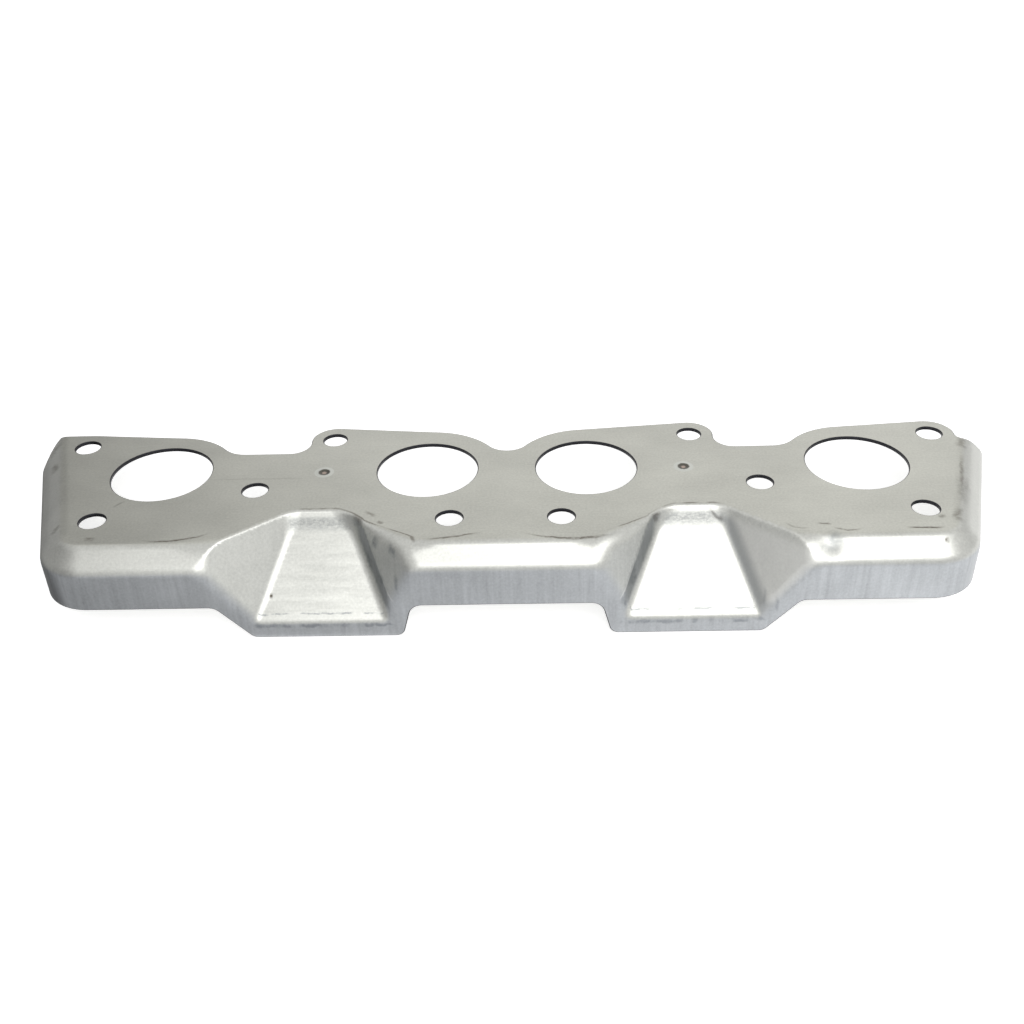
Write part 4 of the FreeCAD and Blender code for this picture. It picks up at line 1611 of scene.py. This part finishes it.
    def build(self, finishes: list[Material]) -> bpy.types.Object:
        """Make the sheet's object at the origin, in metres on the bench.

        Args:
            finishes: materials in the order of the Face slots.

        Returns:
            The finished piece, riding on its body in place of its node.
        """
        maker = SheetSkin(self.form)
        skin = self.waved(maker.trimmed())
        parts = self.join(skin, maker.edge_radius)
        points = np.concatenate(parts.points)
        normals = np.concatenate(parts.normals) @ self.form.rest_turn().T
        triangles = np.concatenate(parts.triangles)
        mesh = bpy.data.meshes.new(self.name)
        mesh.from_pydata(self.form.lay_down(points).tolist(), [], triangles.tolist())
        for finish in finishes:
            mesh.materials.append(finish)
        mesh.polygons.foreach_set("material_index", np.concatenate(parts.faces).astype(np.int32))
        mesh.polygons.foreach_set("use_smooth", np.ones(len(triangles), bool))
        carried = {
            "place": points, "drawn": self.around(points), "facet": self.facets(points),
            "lines": self.lines(points), "strips": self.strips(points)}
        for key, values in carried.items():
            layer = mesh.attributes.new(key, "FLOAT_VECTOR", "POINT")
            layer.data.foreach_set("vector", np.ascontiguousarray(values, np.float32).ravel())
        mesh.normals_split_custom_set_from_vertices(unit(normals).tolist())
        mesh.update()
        piece = place_object(self.name, mesh)
        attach(piece, self.body)
        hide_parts(self.node)
        LOG.info("%s: %d triangles", self.name, len(triangles))
        return piece


@dataclass(frozen=True)
class Softbox:
    """A rectangular lamp: where it stands, what it faces, its size in metres and its power in watts."""

    name: str
    place: Triple
    aim: Triple
    size: Pair
    power: float
    colour: Triple = (1.0, 1.0, 1.0)

    def build(self) -> bpy.types.Object:
        """Make the lamp, facing its aim."""
        data = bpy.data.lights.new(self.name, "AREA")
        data.shape = "RECTANGLE"
        data.size, data.size_y = self.size
        data.energy = self.power
        data.color = self.colour
        lamp = place_object(self.name, data)
        back = np.asarray(self.place) - np.asarray(self.aim)
        back = back / np.linalg.norm(back)
        right = np.cross(UP, back)
        right = right / np.linalg.norm(right)
        stand(lamp, np.column_stack([right, np.cross(back, right), back]), self.place)
        return lamp


@dataclass(frozen=True)
class ReflectorCard:
    """A flat card that only reflections see: a corner, two edges in metres, and its glow along the first."""

    name: str
    corner: Triple
    along: Triple
    across: Triple
    glow: Pair
    ease: Pair = (0.0, 1.0)
    steps: int = 24

    def build(self) -> bpy.types.Object:
        """Make the card: its corner plus shares of its two edges, with its glow eased along the first."""
        u, v = np.meshgrid(np.linspace(0.0, 1.0, self.steps + 1), [0.0, 1.0], indexing="ij")
        corner, along, across = (np.asarray(part) for part in (self.corner, self.along, self.across))
        points = corner + u.reshape(-1, 1) * along + v.reshape(-1, 1) * across
        number = np.arange(len(points)).reshape(-1, 2)
        quads = np.stack([number[:-1, 0], number[1:, 0], number[1:, 1], number[:-1, 1]], 1)
        mesh = bpy.data.meshes.new(self.name)
        mesh.from_pydata(points.tolist(), [], quads.tolist())
        glow = between(*self.glow, smooth(*self.ease, u.ravel()))
        mesh.attributes.new("glow", "FLOAT", "POINT").data.foreach_set("value", glow.astype(np.float32))
        material, bench, shader = new_material(self.name)
        shine = bench.add("Attribute", {"attribute_name": "glow"}).outputs["Color"]
        bench.fill(
            shader, Base_Color=BLACK, Specular_IOR_Level=0.0, Emission_Color=shine, Emission_Strength=1.0)
        mesh.materials.append(material)
        card = place_object(self.name, mesh)
        card.visible_camera = False
        card.visible_diffuse = False
        card.visible_transmission = False
        card.visible_shadow = False
        return card


@dataclass(frozen=True)
class Viewpoint:
    """The photograph's camera in the plate's frame: place in millimetres, three turns, and focal length."""

    place: Triple = (13.5, -401.2, 245.0)
    pitch_deg: float = 33.55
    roll_deg: float = 1.88
    yaw_deg: float = -1.71
    focal_pixels: float = 1179.0
    image_pixels: float = 1024.0
    sensor_mm: float = 36.0
    clip: Pair = (0.01, 50.0)

    def build(self, form: SheetForm) -> bpy.types.Object:
        """Make the camera.

        The view looks along +Y and down by the pitch, is rolled about its own axis, is turned about the
        plate's normal by the yaw, and is laid down with the sheet.

        Args:
            form: the sheet, for its rest on the bench.

        Returns:
            The camera.
        """
        pitch, roll, yaw = (math.radians(d) for d in (self.pitch_deg, self.roll_deg, self.yaw_deg))
        ahead = np.array([0.0, math.cos(pitch), -math.sin(pitch)])
        level = np.array([1.0, 0.0, 0.0])
        below = np.cross(ahead, level)
        right = level * math.cos(roll) + below * math.sin(roll)
        down = below * math.cos(roll) - level * math.sin(roll)
        cosine, sine = math.cos(yaw), math.sin(yaw)
        spin = np.array([[cosine, sine, 0.0], [-sine, cosine, 0.0], [0.0, 0.0, 1.0]])
        axes = form.rest_turn() @ spin @ np.column_stack([right, -down, -ahead])
        data = bpy.data.cameras.new("viewpoint")
        data.sensor_width = self.sensor_mm
        data.lens = self.sensor_mm * self.focal_pixels / self.image_pixels
        data.clip_start, data.clip_end = self.clip
        camera = place_object("viewpoint", data)
        stand(camera, axes, form.lay_down(np.asarray([self.place]))[0].tolist())
        bpy.context.scene.camera = camera
        return camera


@dataclass
class Studio:
    """White bench, pale surroundings and soft lamps."""

    floor_half: float = 6.0
    floor_colour: Colour = (0.82, 0.82, 0.82, 1.0)
    floor_roughness: float = 0.9
    floor_glow: float = 0.62
    fill: float = 0.55
    lamps: tuple[Softbox, ...] = (
        Softbox("front_top", (0.32, -0.60, 1.0), (0.0, 0.0, 0.02), (1.36, 0.75), 6.7),
        Softbox("back_right", (0.742, 0.95, 0.487), (0.1, 0.0, 0.02), (0.9, 0.6), 0.28),
    )
    cards: tuple[ReflectorCard, ...] = (
        ReflectorCard(
            "bench_card", (-0.5, -0.45, 0.0004), (1.0, 0.0, 0.0), (0.0, 0.40, 0.0), (0.60, 1.50),
            (0.28, 0.72)),
        ReflectorCard(
            "left_bench_card", (-0.5, -0.05, 0.0004), (0.335, 0.0, 0.0), (0.0, 0.40, 0.0), (0.20, 0.20)),
        ReflectorCard(
            "left_card", (-0.26, -0.26, 0.0), (0.0, 0.0, 0.30), (0.0, 0.38, 0.0), (0.43, 1.0), (0.25, 0.9)),
        ReflectorCard("right_card", (0.75, 0.1, 0.0), (0.0, 1.3, 0.0), (0.0, 0.0, 0.42), (0.76, 0.76)),
        ReflectorCard(
            "back_card", (-0.95, 0.7, 0.0), (0.85, 0.0, 0.0), (0.0, 0.0, 0.6), (0.35, 1.0), (0.4, 1.0)),
    )

    def white_to_camera(self, bench: NodeBench) -> Socket:
        """1 for camera, glossy and transmission rays, and 0 for all others."""
        path = bench.add("LightPath")
        seen = bench.math("MAXIMUM", path.outputs["Is Camera Ray"], path.outputs["Is Glossy Ray"])
        return bench.math("MAXIMUM", seen, path.outputs["Is Transmission Ray"])

    def build_world(self) -> None:
        """Pale even surroundings that look white to the camera and in the metal."""
        world = bpy.data.worlds.new("studio")
        bpy.context.scene.world = world
        world.use_nodes = True
        bench = NodeBench(world.node_tree)
        back = world.node_tree.nodes["Background"]
        seen = self.white_to_camera(bench)
        strength = bench.math("MULTIPLY_ADD", seen, 1.0 - self.fill, self.fill)
        bench.fill(back, Color=WHITE, Strength=strength)

    def build_floor(self) -> bpy.types.Object:
        """A wide level bench: a two by two grid of corners at height zero."""
        mesh = bpy.data.meshes.new("bench")
        u, v = np.meshgrid([-self.floor_half, self.floor_half], [-self.floor_half, self.floor_half])
        corners = np.column_stack([u.ravel(), v.ravel(), np.zeros(4)])
        mesh.from_pydata(corners.tolist(), [], [[0, 1, 3, 2]])
        material, bench, shader = new_material("bench_white")
        glow = bench.times(self.white_to_camera(bench), self.floor_glow)
        bench.fill(
            shader, Base_Color=self.floor_colour, Roughness=self.floor_roughness, Specular_IOR_Level=0.0,
            Emission_Color=WHITE, Emission_Strength=glow)
        mesh.materials.append(material)
        floor = place_object("bench", mesh)
        return floor

    def build(self) -> None:
        """Set up the surroundings, the bench, the cards and the lamps."""
        bpy.context.scene.view_settings.view_transform = "Standard"
        self.build_world()
        self.build_floor()
        for card in self.cards:
            card.build()
        for lamp in self.lamps:
            lamp.build()


SCUFFS = (
    ScuffOrShade((-121.4, -44.6), 10.5, 13.5, 0.85, 0.85, 0.0139),
    ScuffOrShade((-19.0, -46.7), 10.5, 12.0, 0.85, 0.75, 0.005),
    ScuffOrShade((23.3, -45.4), -1.6, 18.5, 0.85, 0.8, 0.0113),
    ScuffOrShade((107.1, -43.2), -23.4, 5.5, 0.7, 0.35, 0.06),
    ScuffOrShade((117.0, -42.8), -7.5, 3.0, 0.9, 0.6),
    ScuffOrShade((125.0, -45.3), -7.7, 6.0, 0.8, 0.6, 0.05),
    ScuffOrShade((152.7, -45.6), -1.6, 8.0, 0.9, 0.9, 0.0124),
    ScuffOrShade((159.3, -51.6), 0.0, 1.2, 1.1, 0.8),
    ScuffOrShade((167.2, -37.4), 66.2, 6.0, 2.6, 0.5),
    ScuffOrShade((177.1, -9.2), 73.1, 17.5, 1.3, 0.5),
    ScuffOrShade((184.0, 14.0), 70.0, 5.0, 3.0, 0.45),
    ScuffOrShade((-97.5, -5.1), 0.0, 24.0, 0.7, 0.18),
    ScuffOrShade((-185.2, 8.0), -77.0, 4.5, 2.6, 0.5),
    ScuffOrShade((-169.7, -37.0), 60.0, 3.0, 2.0, 0.5),
    ScuffOrShade((-153.7, -45.7), 10.0, 2.5, 1.8, 0.55),
    ScuffOrShade((-149.5, -21.9), 50.0, 3.5, 0.9, 0.4),
    ScuffOrShade((160.7, -39.3), 20.0, 2.0, 1.6, 0.45),
    ScuffOrShade((-190.0, 22.0), 77.0, 7.0, 2.0, 0.4),
    ScuffOrShade((-51.0, -31.5), -35.0, 3.5, 1.2, 0.5),
    ScuffOrShade((-46.7, -37.5), -30.0, 1.8, 1.3, 0.55),
    ScuffOrShade((174.5, -20.0), 70.0, 12.0, 3.2, 0.3),
    ScuffOrShade((-88.6, -50.3), 0.0, 0.8, 0.8, 0.95, 0.0, -24.1),
    ScuffOrShade((79.8, -31.0), -33.0, 4.0, 0.8, 0.7, 0.0, -3.2),
    ScuffOrShade((56.3, -33.6), 43.0, 3.0, 0.8, 0.55, 0.0, -1.5),
    ScuffOrShade((-55.5, -34.0), -43.0, 4.0, 1.0, 0.6, 0.0, -2.5),
)

# Grey patches in the shaded colour. The first is a painted reflection: a darker patch on the right bevel
# over the dent. The others darken the left channel's inner wall and the right channel's foot.
DARK_PATCHES = (
    ScuffOrShade((118.3, -52.2), 60.0, 6.5, 4.5, 0.48, 0.0, -1.8),
    ScuffOrShade((-48.6, -43.4), -40.0, 2.0, 1.2, 0.6, 0.0, -5.0),
    ScuffOrShade((-41.4, -49.5), -60.0, 3.0, 1.3, 0.6, 0.0, -4.4),
    ScuffOrShade((-40.3, -55.6), 70.0, 3.0, 1.2, 0.5, 0.0, -15.2),
    ScuffOrShade((95.4, -54.8), 80.0, 4.0, 0.8, 0.5, 0.0, -24.5),
    ScuffOrShade((99.7, -57.0), 80.0, 2.5, 1.2, 0.4, 0.0, -26.0),
)


def main() -> None:
    """Build the studio, the camera and the sheet, and log how many nodes the frame has."""
    logging.basicConfig(level=logging.INFO, format="%(name)s: %(message)s")
    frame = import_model()
    LOG.info("frame: %d nodes", len(frame["nodes"]))
    form = SheetForm()
    Studio().build()
    Viewpoint().build(form)
    grain = rolled_grain_group()
    mark = scuff_and_shade_group()
    steel = PressedSteel(scuffs=SCUFFS, dark_patches=DARK_PATCHES).build(grain, mark)
    GasketSheet(form).build([steel, CutEdge().build(grain), WeldMark().build(grain, form)])


if __name__ == "__main__":
    main()
